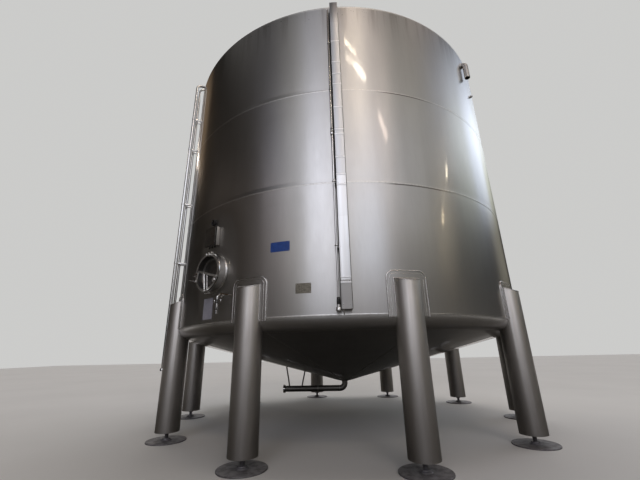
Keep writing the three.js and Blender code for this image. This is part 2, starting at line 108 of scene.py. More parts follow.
def take(piece: Piece) -> None:
    """Makes one piece the only selected and active object.

    Args:
        piece: the object to work on.
    """
    clear_selection()
    piece.select_set(True)
    bpy.context.view_layer.objects.active = piece


@contextmanager
def editing(piece: Piece) -> Iterator[bmesh.types.BMesh]:
    """Opens a piece in edit mode with nothing selected, and closes it again.

    Args:
        piece: the mesh object to edit.

    Yields:
        The edit mesh, for selecting parts of it in code.
    """
    take(piece)
    bpy.ops.object.mode_set(mode="EDIT")
    bpy.ops.mesh.select_mode(type="VERT")
    bpy.ops.mesh.select_all(action="DESELECT")
    yield bmesh.from_edit_mesh(piece.data)
    bpy.ops.object.mode_set(mode="OBJECT")


def pick_faces(mesh: bmesh.types.BMesh, wanted: Callable[[bmesh.types.BMFace], bool]) -> None:
    """Selects the faces that pass a test, and nothing else.

    Args:
        mesh: the edit mesh.
        wanted: the test of a face.
    """
    bpy.ops.mesh.select_mode(type="FACE")
    bpy.ops.mesh.select_all(action="DESELECT")
    for face in mesh.faces:
        face.select_set(wanted(face))


def pick_edges(mesh: bmesh.types.BMesh, wanted: Callable[[bmesh.types.BMEdge], bool]) -> None:
    """Selects the edges that pass a test, and nothing else.

    Args:
        mesh: the edit mesh.
        wanted: the test of an edge.
    """
    bpy.ops.mesh.select_mode(type="EDGE")
    bpy.ops.mesh.select_all(action="DESELECT")
    for edge in mesh.edges:
        edge.select_set(wanted(edge))


def named(name: str) -> Piece:
    """Names the active object and its mesh, and returns it.

    Args:
        name: the piece's name.

    Returns:
        The active object.
    """
    piece = bpy.context.view_layer.objects.active
    piece.name = name
    piece.data.name = name
    return piece


def settle(piece: Piece) -> Piece:
    """Moves a piece's place, turn and scale into its mesh.

    Args:
        piece: the object to settle at the origin.

    Returns:
        The same piece.
    """
    take(piece)
    bpy.ops.object.transform_apply(location=True, rotation=True, scale=True)
    return piece


def turned(piece: Piece, azimuth: float) -> Piece:
    """Turns a piece that was built at azimuth 0 about the tank axis.

    Args:
        piece: the piece, already settled.
        azimuth: where it goes, in degrees.

    Returns:
        The same piece.
    """
    piece.rotation_euler = (0.0, 0.0, math.radians(azimuth))
    return settle(piece)


def copied(piece: Piece, name: str, azimuth: float) -> Piece:
    """Copies a piece with its own mesh and turns the copy about the tank axis.

    Args:
        piece: the finished piece.
        name: the copy's name.
        azimuth: how far the copy is turned, in degrees.

    Returns:
        The copy.
    """
    twin = piece.copy()
    twin.data = piece.data.copy()
    twin.name = name
    twin.data.name = name
    bpy.context.scene.collection.objects.link(twin)
    return turned(twin, azimuth)


def ringed(piece: Piece, count: int) -> list[Piece]:
    """Gives a piece and its copies, spread evenly about the tank axis."""
    return [piece] + [copied(piece, "copy", 360.0 * k / count) for k in range(1, count)]


def joined(name: str, parts: Sequence[Piece]) -> Piece:
    """Joins parts into one piece.

    Args:
        name: the piece's name.
        parts: the meshes to join.

    Returns:
        The joined piece.
    """
    clear_selection()
    for part in parts:
        part.select_set(True)
    bpy.context.view_layer.objects.active = parts[0]
    bpy.ops.object.join()
    return named(name)


def modified(piece: Piece, kind: str, **settings: object) -> Piece:
    """Adds a modifier to a piece and applies it.

    Args:
        piece: the mesh object.
        kind: the modifier's type.
        settings: its values by name.

    Returns:
        The same piece.
    """
    take(piece)
    modifier = piece.modifiers.new(kind.title(), kind)
    for name, value in settings.items():
        setattr(modifier, name, value)
    bpy.ops.object.modifier_apply(modifier=modifier.name)
    return piece


def bevelled(piece: Piece, width: float, segments: int = 2) -> Piece:
    """Rounds the sharp edges of a piece.

    Args:
        piece: the mesh object.
        width: the width of the rounding.
        segments: how many strips it has.

    Returns:
        The same piece.
    """
    return modified(piece, "BEVEL", width=width, segments=segments, limit_method="ANGLE",
                    angle_limit=math.radians(40), harden_normals=False)


def cut(piece: Piece, tool: Piece, keep: bool = False, operation: str = "DIFFERENCE") -> Piece:
    """Cuts a piece with another solid, or keeps what both share.

    Args:
        piece: the mesh object to cut.
        tool: the solid that cuts.
        keep: whether the tool is used again.
        operation: the kind of cut.

    Returns:
        The cut piece.
    """
    modified(piece, "BOOLEAN", object=tool, operation=operation, solver="EXACT")
    if not keep:
        bpy.data.objects.remove(tool)
    return piece


def rounded(piece: Piece, angle: float) -> Piece:
    """Shades a piece smooth where its faces meet at less than an angle.

    Args:
        piece: the mesh object.
        angle: the limit in degrees.

    Returns:
        The same piece.
    """
    take(piece)
    bpy.ops.object.shade_smooth_by_angle(angle=math.radians(angle))
    return piece


# Basic stock: spun sheet, bar, plate and tube


def spun(name: str, profile: Sequence[Point], axis: Point = UPWARDS,
         centre: Point = (0.0, 0.0, 0.0), steps: int = ROUND_STEPS,
         sweep: float = 360.0) -> Piece:
    """Spins a profile about an axis.

    Args:
        name: the piece's name.
        profile: the points of the profile, closed by repeating the first or by the axis.
        axis: the direction of the axis.
        centre: a point on the axis.
        steps: how many steps the spin takes.
        sweep: how far it goes, in degrees; a part turn gets its end faces.

    Returns:
        The spun piece.
    """
    clear_selection()
    bpy.ops.mesh.primitive_plane_add(size=1.0)
    piece = named(name)
    bpy.ops.object.mode_set(mode="EDIT")
    bpy.ops.mesh.select_mode(type="VERT")
    bpy.ops.mesh.select_all(action="SELECT")
    bpy.ops.mesh.merge(type="CENTER")
    bpy.ops.transform.translate(value=profile[0])
    for here, there in zip(profile, profile[1:]):
        step = tuple(b - a for a, b in zip(here, there))
        bpy.ops.mesh.extrude_region_move(TRANSFORM_OT_translate={"value": step})
    bpy.ops.mesh.select_all(action="SELECT")
    bpy.ops.mesh.remove_doubles(threshold=MERGE)
    if sweep < 360.0:
        bpy.ops.mesh.select_all(action="SELECT")
        bpy.ops.mesh.edge_face_add()
    bpy.ops.mesh.select_all(action="SELECT")
    bpy.ops.mesh.spin(steps=steps, angle=-math.radians(sweep), center=centre, axis=axis)
    bpy.ops.mesh.select_all(action="SELECT")
    bpy.ops.mesh.remove_doubles(threshold=MERGE)
    bpy.ops.mesh.normals_make_consistent(inside=False)
    bpy.ops.object.mode_set(mode="OBJECT")
    return piece


def upright(pairs: Sequence[Pair], close: bool = True) -> list[Point]:
    """Lays a profile of radius and height pairs in the plane of azimuth 0.

    Args:
        pairs: the radius and height of each point.
        close: whether the profile returns to its start.

    Returns:
        The profile's points.
    """
    points = [(radius, 0.0, height) for radius, height in pairs]
    return points + points[:1] if close else points


def stacked(name: str, pairs: Sequence[Pair], out: float, steps: int = 32,
            side: float = 0.0) -> Piece:
    """Spins a profile of radius and height pairs about an upright that stands off the axis.

    Args:
        name: the piece's name.
        pairs: the radius and height of each point; a ring repeats its first.
        out: how far the upright lies from the tank axis.
        steps: how many steps the spin takes.
        side: how far it lies to the side.

    Returns:
        The spun piece.
    """
    profile = [(out + radius, side, height) for radius, height in pairs]
    return spun(name, profile, UPWARDS, (out, side, 0.0), steps)


def faced(name: str, pairs: Sequence[Pair], height: float, steps: int, across: float = 0.0,
          close: bool = True) -> Piece:
    """Spins a profile of radius and distance pairs about an axis that points outwards.

    Args:
        name: the piece's name.
        pairs: the radius from that axis and the distance from the tank axis of each point.
        height: the height of the axis.
        steps: how many steps the spin takes.
        across: how far it lies to the side.
        close: whether the profile returns to its start.

    Returns:
        The spun piece.
    """
    points = [(out, across, height + radius) for radius, out in pairs]
    profile = points + points[:1] if close else points
    return spun(name, profile, OUTWARDS, (0.0, across, height), steps)


def round_stock(name: str, start: Point, end: Point, radius: float, sides: int = 24,
                edge: float = 0.0) -> Piece:
    """Makes a round bar between two points, with its ends eased.

    Args:
        name: the piece's name.
        start: the middle of one end.
        end: the middle of the other.
        radius: the bar's radius.
        sides: how many faces go round it.
        edge: the width of the rounding at its ends.

    Returns:
        The bar.
    """
    along = Vector(end) - Vector(start)
    middle = (Vector(end) + Vector(start)) / 2
    clear_selection()
    bpy.ops.mesh.primitive_cylinder_add(vertices=sides, radius=radius, depth=along.length,
                                        location=middle,
                                        rotation=along.to_track_quat("Z", "Y").to_euler())
    bar = settle(named(name))
    return bevelled(bar, edge, 2) if edge else bar


def block(name: str, low: Point, high: Point, edge: float = 0.001) -> Piece:
    """Makes a block between two corners, with its edges eased.

    Args:
        name: the piece's name.
        low: the lowest corner.
        high: the highest corner.
        edge: the width of the rounding.

    Returns:
        The block.
    """
    clear_selection()
    bpy.ops.mesh.primitive_cube_add(size=1.0, location=[(a + b) / 2 for a, b in zip(low, high)])
    piece = named(name)
    piece.scale = [b - a for a, b in zip(low, high)]
    settle(piece)
    return bevelled(piece, edge, 2) if edge else piece


def tube(name: str, corners: Sequence[Point], radius: float, bend: float = 0.0,
         sides: int = 6, closed: bool = False) -> Piece:
    """Makes a round tube or bead along a route with rounded corners.

    Args:
        name: the piece's name.
        corners: the corners of the route.
        radius: the tube's radius.
        bend: the bend radius at each corner; 0 keeps the points as they are.
        sides: how many faces lie round it, less four.
        closed: whether the route returns to its start.

    Returns:
        The tube as a mesh.
    """
    route = route_with_bends(corners, bend) if bend else [Vector(corner) for corner in corners]
    curve = bpy.data.curves.new(name, "CURVE")
    curve.dimensions = "3D"
    curve.bevel_depth = radius
    curve.bevel_resolution = sides // 2
    curve.use_fill_caps = not closed
    spline = curve.splines.new("POLY")
    spline.points.add(len(route) - 1)
    for point, place in zip(spline.points, route):
        point.co = (*place, 1.0)
    spline.use_cyclic_u = closed
    piece = bpy.data.objects.new(name, curve)
    bpy.context.scene.collection.objects.link(piece)
    take(piece)
    bpy.ops.object.convert(target="MESH")
    piece = named(name)
    with editing(piece):
        bpy.ops.mesh.select_all(action="SELECT")
        bpy.ops.mesh.remove_doubles(threshold=1e-6)
        bpy.ops.mesh.normals_make_consistent(inside=False)
    return piece


def route_with_bends(corners: Sequence[Point], bend: float, steps: int = 8) -> list[Vector]:
    """Rounds the corners of a route.

    Args:
        corners: the corners of the route.
        bend: the bend radius.
        steps: how many points each bend has.

    Returns:
        The points of the rounded route.
    """
    points = [Vector(corner) for corner in corners]
    route = [points[0]]
    for before, corner, after in zip(points, points[1:], points[2:]):
        inwards, onwards = (corner - before).normalized(), (after - corner).normalized()
        angle = inwards.angle(onwards)
        if angle < 1e-3:
            route.append(corner)
            continue
        reach = bend * math.tan(angle / 2)
        axis = inwards.cross(onwards).normalized()
        spoke = inwards.cross(axis) * bend
        centre = corner - inwards * reach - spoke
        for step in range(steps + 1):
            turn = Matrix.Rotation(angle * step / steps, 3, axis)
            route.append(centre + turn @ spoke)
    return route + [points[-1]]


def on_shell(across: float, height: float, out: float) -> Point:
    """Gives the place that lies at a distance along the shell from azimuth 0.

    Args:
        across: the distance along the shell, counted at its radius.
        height: the height.
        out: the distance from the tank axis.

    Returns:
        The place.
    """
    turn = across / RADIUS
    return (out * math.cos(turn), out * math.sin(turn), height)


@dataclass(frozen=True)
class EndShape:
    """The outline of a cone end with its knuckle.

    Args:
        knuckle: the outer radius of the knuckle.
        slope: the slope of the cone in degrees.
        weld: the height of its weld to the shell.
        facing: 1 for the roof and -1 for the bottom.
    """

    knuckle: float
    slope: float
    weld: float
    facing: int

    def arc(self, offset: float, steps: int = 10) -> list[Pair]:
        """Gives the knuckle's points from the weld towards the cone.

        Args:
            offset: how far outside the surface they lie.
            steps: how many strips the knuckle has.

        Returns:
            The radius and height of each point.
        """
        full = math.pi / 2 - math.radians(self.slope)
        spoke = self.knuckle + offset
        middle = RADIUS - self.knuckle
        return [(middle + spoke * math.cos(full * k / steps),
                 self.weld + self.facing * spoke * math.sin(full * k / steps))
                for k in range(steps + 1)]

    def height(self, radius: float, offset: float = 0.0) -> float:
        """Gives the height of the cone at a radius, or of a surface outside it."""
        edge, level = self.arc(offset)[-1]
        return level + self.facing * (edge - radius) * math.tan(math.radians(self.slope))


BOTTOM = EndShape(knuckle=0.160, slope=14.75, weld=BOTTOM_WELD, facing=-1)
ROOF = EndShape(knuckle=0.045, slope=10.0, weld=ROOF_WELD, facing=1)


# Finishes


class NodeTree:
    """A node tree, with short calls for the nodes that the finishes and the light use."""

    def __init__(self, tree: bpy.types.NodeTree, place: str) -> None:
        """Takes over a tree.

        Args:
            tree: the node tree.
            place: the texture coordinate that its patterns read.
        """
        self.nodes, self.links = tree.nodes, tree.links
        self.place = self.nodes.new("ShaderNodeTexCoord").outputs[place]

    def put(self, value: Socket | float, socket: Socket) -> None:
        """Links a value to a socket, or sets it there when it is a number."""
        if isinstance(value, (int, float)):
            socket.default_value = value
        else:
            self.links.new(value, socket)

    def axes(self) -> list[Socket]:
        """Gives the place along X, Y and Z."""
        split = self.nodes.new("ShaderNodeSeparateXYZ")
        self.links.new(self.place, split.inputs["Vector"])
        return [split.outputs[axis] for axis in "XYZ"]

    def ranged(self, value: Socket, start: Pair, end: Pair = (0.0, 1.0),
               smooth: bool = False) -> Socket:
        """Maps a value from one range to another.

        Args:
            value: the value to map.
            start: the range it comes from.
            end: the range it goes to.
            smooth: whether the change eases in and out.

        Returns:
            The mapped value.
        """
        node = self.nodes.new("ShaderNodeMapRange")
        node.interpolation_type = "SMOOTHSTEP" if smooth else "LINEAR"
        for socket, number in zip(("From Min", "From Max", "To Min", "To Max"), (*start, *end)):
            node.inputs[socket].default_value = number
        self.links.new(value, node.inputs["Value"])
        return node.outputs["Result"]

    def fade(self, value: Socket, start: float, end: float) -> Socket:
        """Eases from 0 at the start to 1 at the end, which may lie below it."""
        ends = (0.0, 1.0) if start < end else (1.0, 0.0)
        return self.ranged(value, (min(start, end), max(start, end)), ends, smooth=True)

    def sum(self, operation: str, *values: Socket | float) -> Socket:
        """Joins values by a sum, product or other operation.

        Args:
            operation: the name of the operation.
            values: the values, which are sockets or numbers.

        Returns:
            The result.
        """
        node = self.nodes.new("ShaderNodeMath")
        node.operation = operation
        for value, socket in zip(values, node.inputs):
            self.put(value, socket)
        return node.outputs["Value"]

    def product(self, first: Socket, second: Socket | float) -> Socket:
        """Multiplies two values."""
        return self.sum("MULTIPLY", first, second)

    def squares(self, first: Socket, second: Socket) -> Socket:
        """Adds the squares of two values."""
        return self.sum("ADD", self.product(first, first), self.product(second, second))

    def window(self, value: Socket, start: Pair, end: Pair, peak: float = 1.0) -> Socket:
        """Lets a mark show only where a value lies in a window.

        Args:
            value: the value.
            start: the range in which the mark comes in.
            end: the range in which it goes again.
            peak: how strongly it shows between them.

        Returns:
            The share of the mark.
        """
        return self.product(self.ranged(value, start, (0.0, peak)),
                            self.ranged(value, end, (1.0, 0.0)))

    def blend(self, share: Socket, low: Colour | Socket, high: Colour | Socket,
              kind: str = "MIX") -> Socket:
        """Mixes two colours by a share.

        Args:
            share: 0 for the first colour and 1 for the second.
            low: the first colour.
            high: the second colour.
            kind: how they are mixed.

        Returns:
            The mixed colour.
        """
        node = self.nodes.new("ShaderNodeMix")
        node.data_type, node.blend_type = "RGBA", kind
        self.links.new(share, node.inputs["Factor"])
        for name, colour in (("A", low), ("B", high)):
            socket = next(s for s in node.inputs if s.name == name and s.type == "RGBA")
            if isinstance(colour, Socket):
                self.links.new(colour, socket)
            else:
                socket.default_value = (*colour, 1.0)
        return next(s for s in node.outputs if s.type == "RGBA")

    def toward(self, way: Vector) -> Socket:
        """Gives how far the place points along a direction."""
        node = self.nodes.new("ShaderNodeVectorMath")
        node.operation = "DOT_PRODUCT"
        self.links.new(self.place, node.inputs[0])
        node.inputs[1].default_value = way
        return node.outputs["Value"]


class NodeBench(NodeTree):
    """A material's node tree, with a bare principled shader at its end."""

    def __init__(self, name: str) -> None:
        """Starts a material.

        Args:
            name: the material's name.
        """
        self.material = bpy.data.materials.new(name)
        self.material.use_nodes = True
        self.shader = self.material.node_tree.nodes["Principled BSDF"]
        super().__init__(self.material.node_tree, "Object")

    def set(self, **values: object) -> None:
        """Sets plain values on the shader's own sockets, with _ for a space in a name."""
        for name, value in values.items():
            self.shader.inputs[name.replace("_", " ")].default_value = value

    def feed(self, socket: str, source: Socket) -> None:
        """Links a value to one of the shader's sockets."""
        self.links.new(source, self.shader.inputs[socket])

    def stretched(self, scale: Point = (1.0, 1.0, 1.0)) -> Socket:
        """Scales the place on the piece along each axis."""
        mapping = self.nodes.new("ShaderNodeMapping")
        mapping.inputs["Scale"].default_value = scale
        self.links.new(self.place, mapping.inputs["Vector"])
        return mapping.outputs["Vector"]

    def noise(self, where: Socket, scale: float, detail: float = 3.0,
              roughness: float = 0.55) -> Socket:
        """Adds a noise pattern.

        Args:
            where: the place that it reads.
            scale: its scale.
            detail: how many layers it has.
            roughness: how strong the finer layers are.

        Returns:
            Its value, from 0 to 1.
        """
        node = self.nodes.new("ShaderNodeTexNoise")
        node.inputs["Scale"].default_value = scale
        node.inputs["Detail"].default_value = detail
        node.inputs["Roughness"].default_value = roughness
        self.links.new(where, node.inputs["Vector"])
        return node.outputs["Fac"]

    def bump(self, height: Socket, strength: float, distance: float,
             under: Socket | None = None) -> Socket:
        """Turns a height pattern into relief.

        Args:
            height: the pattern.
            strength: how strongly it shows.
            distance: its depth in metres.
            under: another relief that it lies on.

        Returns:
            The relief as a normal.
        """
        node = self.nodes.new("ShaderNodeBump")
        node.inputs["Strength"].default_value = strength
        node.inputs["Distance"].default_value = distance
        self.links.new(height, node.inputs["Height"])
        if under is not None:
            self.links.new(under, node.inputs["Normal"])
        return node.outputs["Normal"]


@dataclass(frozen=True)
class SheetFinish:
    """Stainless sheet or pipe with a grain, faint clouds, streaks and a soft ripple.

    Args:
        name: the material's name.
        slot: the record's slot.
        light: the colour of its brightest places.
        dark: the colour of its stained places.
        smooth: the roughness between its grain lines.
        rough: the roughness on its grain lines.
        grain: how many grain lines lie in a metre.
        cloud: how many clouds lie in a metre.
        ripple: the depth of its ripple in metres.
        along: the axes' scale that draws the grain out, small along the grain.
        lengthen: how far its highlights are drawn out across the grain.
        layers: how many layers its grain has.
        skin: the refractive index of its bright rolled skin, or 0 for none.
        gloss: the roughness of that skin.
    """

    name: str
    slot: Slot
    light: Colour
    dark: Colour
    smooth: float
    rough: float
    grain: float = 60.0
    cloud: float = 0.9
    ripple: float = 0.0
    along: Point = (1.0, 1.0, 0.03)
    lengthen: float = 0.0
    layers: float = 4.0
    skin: float = 0.0
    gloss: float = 0.08

    def material(self) -> bpy.types.Material:
        """Builds the material.

        Returns:
            The material.
        """
        bench = NodeBench(self.name)
        grain = bench.noise(bench.stretched(self.along), self.grain, self.layers, 0.6)
        streak = bench.noise(bench.stretched((1.0, 1.0, 0.12)), 5.0, 3.0, 0.5)
        cloud = bench.noise(bench.stretched((1.0, 1.0, 0.6)), self.cloud, 4.0, 0.55)
        stain = bench.sum("ADD", bench.ranged(cloud, NOISE_CORE, (0.0, 0.55)),
                          bench.ranged(streak, (0.35, 0.75), (0.0, 0.45)))
        tone = bench.sum("ADD", stain, bench.ranged(grain, (0.2, 0.8), (-0.12, 0.12)))
        colour = bench.blend(tone, self.light, self.dark)
        spread = bench.sum("ADD", bench.ranged(stain, (0.0, 1.0), (-0.02, 0.02)),
                           bench.ranged(grain, NOISE_CORE, (self.smooth, self.rough)))
        bench.feed("Roughness", spread)
        relief = bench.bump(grain, 0.10, 0.003 / self.grain)
        if self.ripple:
            wave = bench.noise(bench.stretched((1.0, 1.0, 0.55)), 1.4, 2.0, 0.4)
            relief = bench.bump(wave, 1.0, self.ripple, relief)
        colour, relief = self.worked(bench, colour, relief)
        bench.feed("Base Color", colour)
        bench.feed("Normal", relief)
        bench.set(Metallic=1.0, Anisotropic=self.lengthen, Anisotropic_Rotation=0.25)
        if self.skin:
            bench.feed("Coat Normal", relief)
            bench.set(Coat_Weight=1.0, Coat_IOR=self.skin, Coat_Roughness=self.gloss)
        return bench.material

    def worked(self, bench: NodeBench, colour: Socket, relief: Socket) -> Look:
        """Adds nothing here: a finish for one place may add its own marks.

        Args:
            bench: the material's nodes.
            colour: the colour so far.
            relief: the relief so far.

        Returns:
            The colour and the relief.
        """
        return colour, relief


@dataclass(frozen=True)
class DuctFinish(SheetFinish):
    """Folded sheet whose upper lengths are darker step by step at their joints, and whose lowest
    length is matt.

    Args:
        joints: the height of each joint where the tone changes, and the share of the dull
            colour above it.
        dull: the darker colour.
        matt: the height below which the sheet is matt, and its roughness there.
    """

    joints: tuple[Pair, ...] = ((2.643, 0.10), (3.200, 0.62), (3.826, 0.25), (5.761, 0.20))
    dull: Colour = (0.60, 0.605, 0.615)
    matt: Pair = (1.878, 0.85)

    def worked(self, bench: NodeBench, colour: Socket, relief: Socket) -> Look:
        """Adds the change of tone at each joint.

        Args:
            bench: the material's nodes.
            colour: the colour so far.
            relief: the relief so far.

        Returns:
            The colour and the relief.
        """
        rise = bench.axes()[2]
        for joint, share in self.joints:
            above = bench.ranged(rise, (joint - 0.001, joint + 0.001), (0.0, share))
            colour = bench.blend(above, colour, self.dull)
        height, rough = self.matt
        grain = bench.noise(bench.stretched(self.along), self.grain, self.layers, 0.6)
        sheen = bench.ranged(grain, NOISE_CORE, (self.smooth, self.rough))
        bench.feed("Roughness", bench.sum(
            "MAXIMUM", sheen, bench.ranged(rise, (height, height + 0.002), (rough, 0.0))))
        return colour, relief


@dataclass(frozen=True)
class ShellFinish(SheetFinish):
    """Sheet of the vessel, ridged at the round welds, stained under the roof edge, and darkened
    with painted shade round the fittings at the left and under parts of two welds.

    Args:
        seams: the height of each round weld.
        strong: how strong the ridge is at each.
        reach: how far above a weld its ridge reaches, a quarter of how far it reaches below.
        ridge: how proud the ridge is where that is strongest, in metres.
        crest: the azimuth of that place and how far it spreads to each side, in degrees.
        runs: the heights where the stains end and start.
        stained: the colour of the stains.
        zone_middle: the azimuth and height of the middle of the dulled zone round the fittings at
            the left.
        extent: how far that zone reaches to each side and up or down.
        fading: where that zone starts to fade and ends, as squares of its extent.
        dulled: its roughness.
        painted_shade: the painted shade that darkens the colour of that zone.
        undercuts: the height of each line of painted shade just under a round weld, and its two
            azimuths.
        sunk: the colour of that painted shade.
        speck: the colour of the specks under the roof edge.
        burnt: the colour of the heat mark along the roof weld.
    """

    seams: tuple[float, ...] = (LOWER_SEAM, UPPER_SEAM)
    strong: tuple[float, ...] = (1.0, 0.6)
    reach: float = 0.060
    ridge: float = 0.0066
    crest: Pair = (-110.0, 16.0)
    runs: Pair = (5.50, 6.14)
    stained: Colour = (0.33, 0.31, 0.29)
    zone_middle: Pair = (-123.5, 2.25)
    extent: Pair = (0.46, 0.84)
    fading: Pair = (0.15, 2.1)
    dulled: float = 0.56
    painted_shade: Colour = (0.33, 0.315, 0.295)
    undercuts: tuple[Point, ...] = ((LOWER_SEAM, -79.0, -58.0), (UPPER_SEAM, -79.0, -60.0))
    sunk: Colour = (0.13, 0.11, 0.10)
    speck: Colour = (0.05, 0.045, 0.04)
    burnt: Colour = (0.16, 0.115, 0.08)

    def zone(self, bench: NodeBench, around: Socket, rise: Socket) -> Socket:
        """Marks the zone round the fittings at the left, where the sheet is duller and its colour
        is darkened by painted shade.

        Args:
            bench: the material's nodes.
            around: the azimuth in radians.
            rise: the height.

        Returns:
            1 in the zone and 0 outside it.
        """
        azimuth, height = self.zone_middle
        aside = bench.product(bench.sum("SUBTRACT", around, math.radians(azimuth)),
                              RADIUS / self.extent[0])
        aloft = bench.product(bench.sum("SUBTRACT", rise, height), 1 / self.extent[1])
        return bench.ranged(bench.squares(aside, aloft), self.fading, (1.0, 0.0), smooth=True)

    def worked(self, bench: NodeBench, colour: Socket, relief: Socket) -> Look:
        """Adds the ridges along the welds, the painted shade round the fittings and under two
        welds, the runs of grime and the specks under the edge.

        Args:
            bench: the material's nodes.
            colour: the colour so far.
            relief: the relief so far.

        Returns:
            The colour and the relief.
        """
        east, north, rise = bench.axes()
        around = bench.sum("ARCTAN2", north, east)
        dull = self.zone(bench, around, rise)
        before = bench.shader.inputs["Roughness"].links[0].from_socket
        bench.feed("Roughness", bench.sum("MAXIMUM", before, bench.product(dull, self.dulled)))
        bench.feed("Coat Weight", bench.ranged(dull, (0.0, 1.0), (1.0, 0.0)))
        middle, spread = (math.radians(angle) for angle in self.crest)
        aside = bench.sum("ABSOLUTE", bench.sum("SUBTRACT", around, middle), 0.0)
        local = bench.ranged(aside, (0.0, spread), (1.0, 0.12), smooth=True)
        for seam, share in zip(self.seams, self.strong):
            above = bench.ranged(rise, (seam, seam + self.reach), (share, 0.0))
            below = bench.ranged(rise, (seam - 4 * self.reach, seam), (0.0, share))
            near = bench.sum("MINIMUM", above, below)
            relief = bench.bump(bench.product(near, local), 1.0, self.ridge, relief)
        # Painted shade: the colour of the zone round the fittings at the left is darkened towards
        # its shade colour.
        colour = bench.blend(bench.product(dull, 0.8), colour, self.painted_shade)
        # Painted shade: a dark line just under two of the round welds, over a stretch of azimuth.
        for seam, *ends in self.undercuts:
            start, end = (math.radians(angle) for angle in ends)
            window = bench.window(around, (start, start + 0.06), (end - 0.10, end), 0.9)
            line = bench.window(rise, (seam - 0.030, seam - 0.022), (seam - 0.004, seam + 0.004))
            colour = bench.blend(bench.product(line, window), colour, self.sunk)
        low, high = self.runs
        fall = bench.noise(bench.stretched((1.0, 1.0, 0.05)), 7.0, 4.0, 0.6)
        grime = bench.product(bench.ranged(fall, (0.50, 0.64), (0.0, 0.55)),
                              bench.ranged(rise, (low, high)))
        colour = bench.blend(grime, colour, self.stained)
        speck = bench.noise(bench.stretched(), 34.0, 1.0, 0.4)
        band = bench.window(rise, (high - 0.22, high - 0.10), (high - 0.03, high))
        dots = bench.product(bench.ranged(speck, (0.73, 0.76), (0.0, 0.85)), band)
        colour = bench.blend(dots, colour, self.speck)
        edge = bench.window(rise, (high + 0.020, high + 0.032), (high + 0.065, high + 0.095), 0.8)
        return bench.blend(edge, colour, self.burnt), relief


@dataclass(frozen=True)
class WornMetal:
    """Dull or polished metal with grime in patches and a fine texture.

    Args:
        name: the material's name.
        slot: the record's slot.
        light: the colour of its clean places.
        dark: the colour of its grimy places.
        smooth: the roughness of its clean places.
        rough: the roughness of its grimy places.
        patch: how many patches lie in a metre.
        pit: the depth of its texture in metres.
        metal: how metallic it is.
        fine: how much finer its texture is than its patches.
    """

    name: str
    slot: Slot
    light: Colour
    dark: Colour
    smooth: float
    rough: float
    patch: float = 9.0
    pit: float = 0.0003
    metal: float = 1.0
    fine: float = 14.0

    def material(self) -> bpy.types.Material:
        """Builds the material.

        Returns:
            The material.
        """
        bench = NodeBench(self.name)
        patches = bench.noise(bench.stretched(), self.patch, 5.0, 0.6)
        speck = bench.noise(bench.stretched(), self.patch * self.fine, 3.0, 0.6)
        share = bench.ranged(patches, (0.35, 0.68), smooth=True)
        share = bench.product(share, bench.ranged(speck, (0.2, 0.8), (0.7, 1.0)))
        bench.feed("Base Color", bench.blend(share, self.light, self.dark))
        bench.feed("Roughness", bench.ranged(share, (0.0, 1.0), (self.smooth, self.rough)))
        bench.feed("Normal", bench.bump(speck, 0.4, self.pit))
        bench.set(Metallic=self.metal)
        return bench.material


@dataclass(frozen=True)
class CoatedFace:
    """Enamel, paint or paper: a coloured coat with mottling and faint marks.

    Args:
        name: the material's name.
        slot: the record's slot.
        light: the colour of the coat.
        dark: the colour of its worn or shaded places.
        roughness: how matt it is.
        mottle: how many marks lie in a metre.
        coat: the strength of a clear layer over it.
        fibre: the depth of its texture in metres.
        metal: how metallic it is.
    """

    name: str
    slot: Slot
    light: Colour
    dark: Colour
    roughness: float
    mottle: float = 30.0
    coat: float = 0.0
    fibre: float = 0.0002
    metal: float = 0.0

    def material(self) -> bpy.types.Material:
        """Builds the material.

        Returns:
            The material.
        """
        bench = NodeBench(self.name)
        mottle = bench.noise(bench.stretched(), self.mottle, 4.0, 0.6)
        fibre = bench.noise(bench.stretched((1.0, 1.0, 0.4)), self.mottle * 12.0, 3.0, 0.6)
        share = bench.ranged(mottle, (0.35, 0.7), smooth=True)
        bench.feed("Base Color", bench.blend(share, self.light, self.dark))
        bench.feed("Roughness", bench.ranged(fibre, (0.2, 0.8),
                                             (self.roughness - 0.06, self.roughness + 0.08)))
        bench.feed("Normal", bench.bump(fibre, 0.3, self.fibre))
        bench.set(Metallic=self.metal, Coat_Weight=self.coat, Coat_Roughness=0.12)
        return bench.material


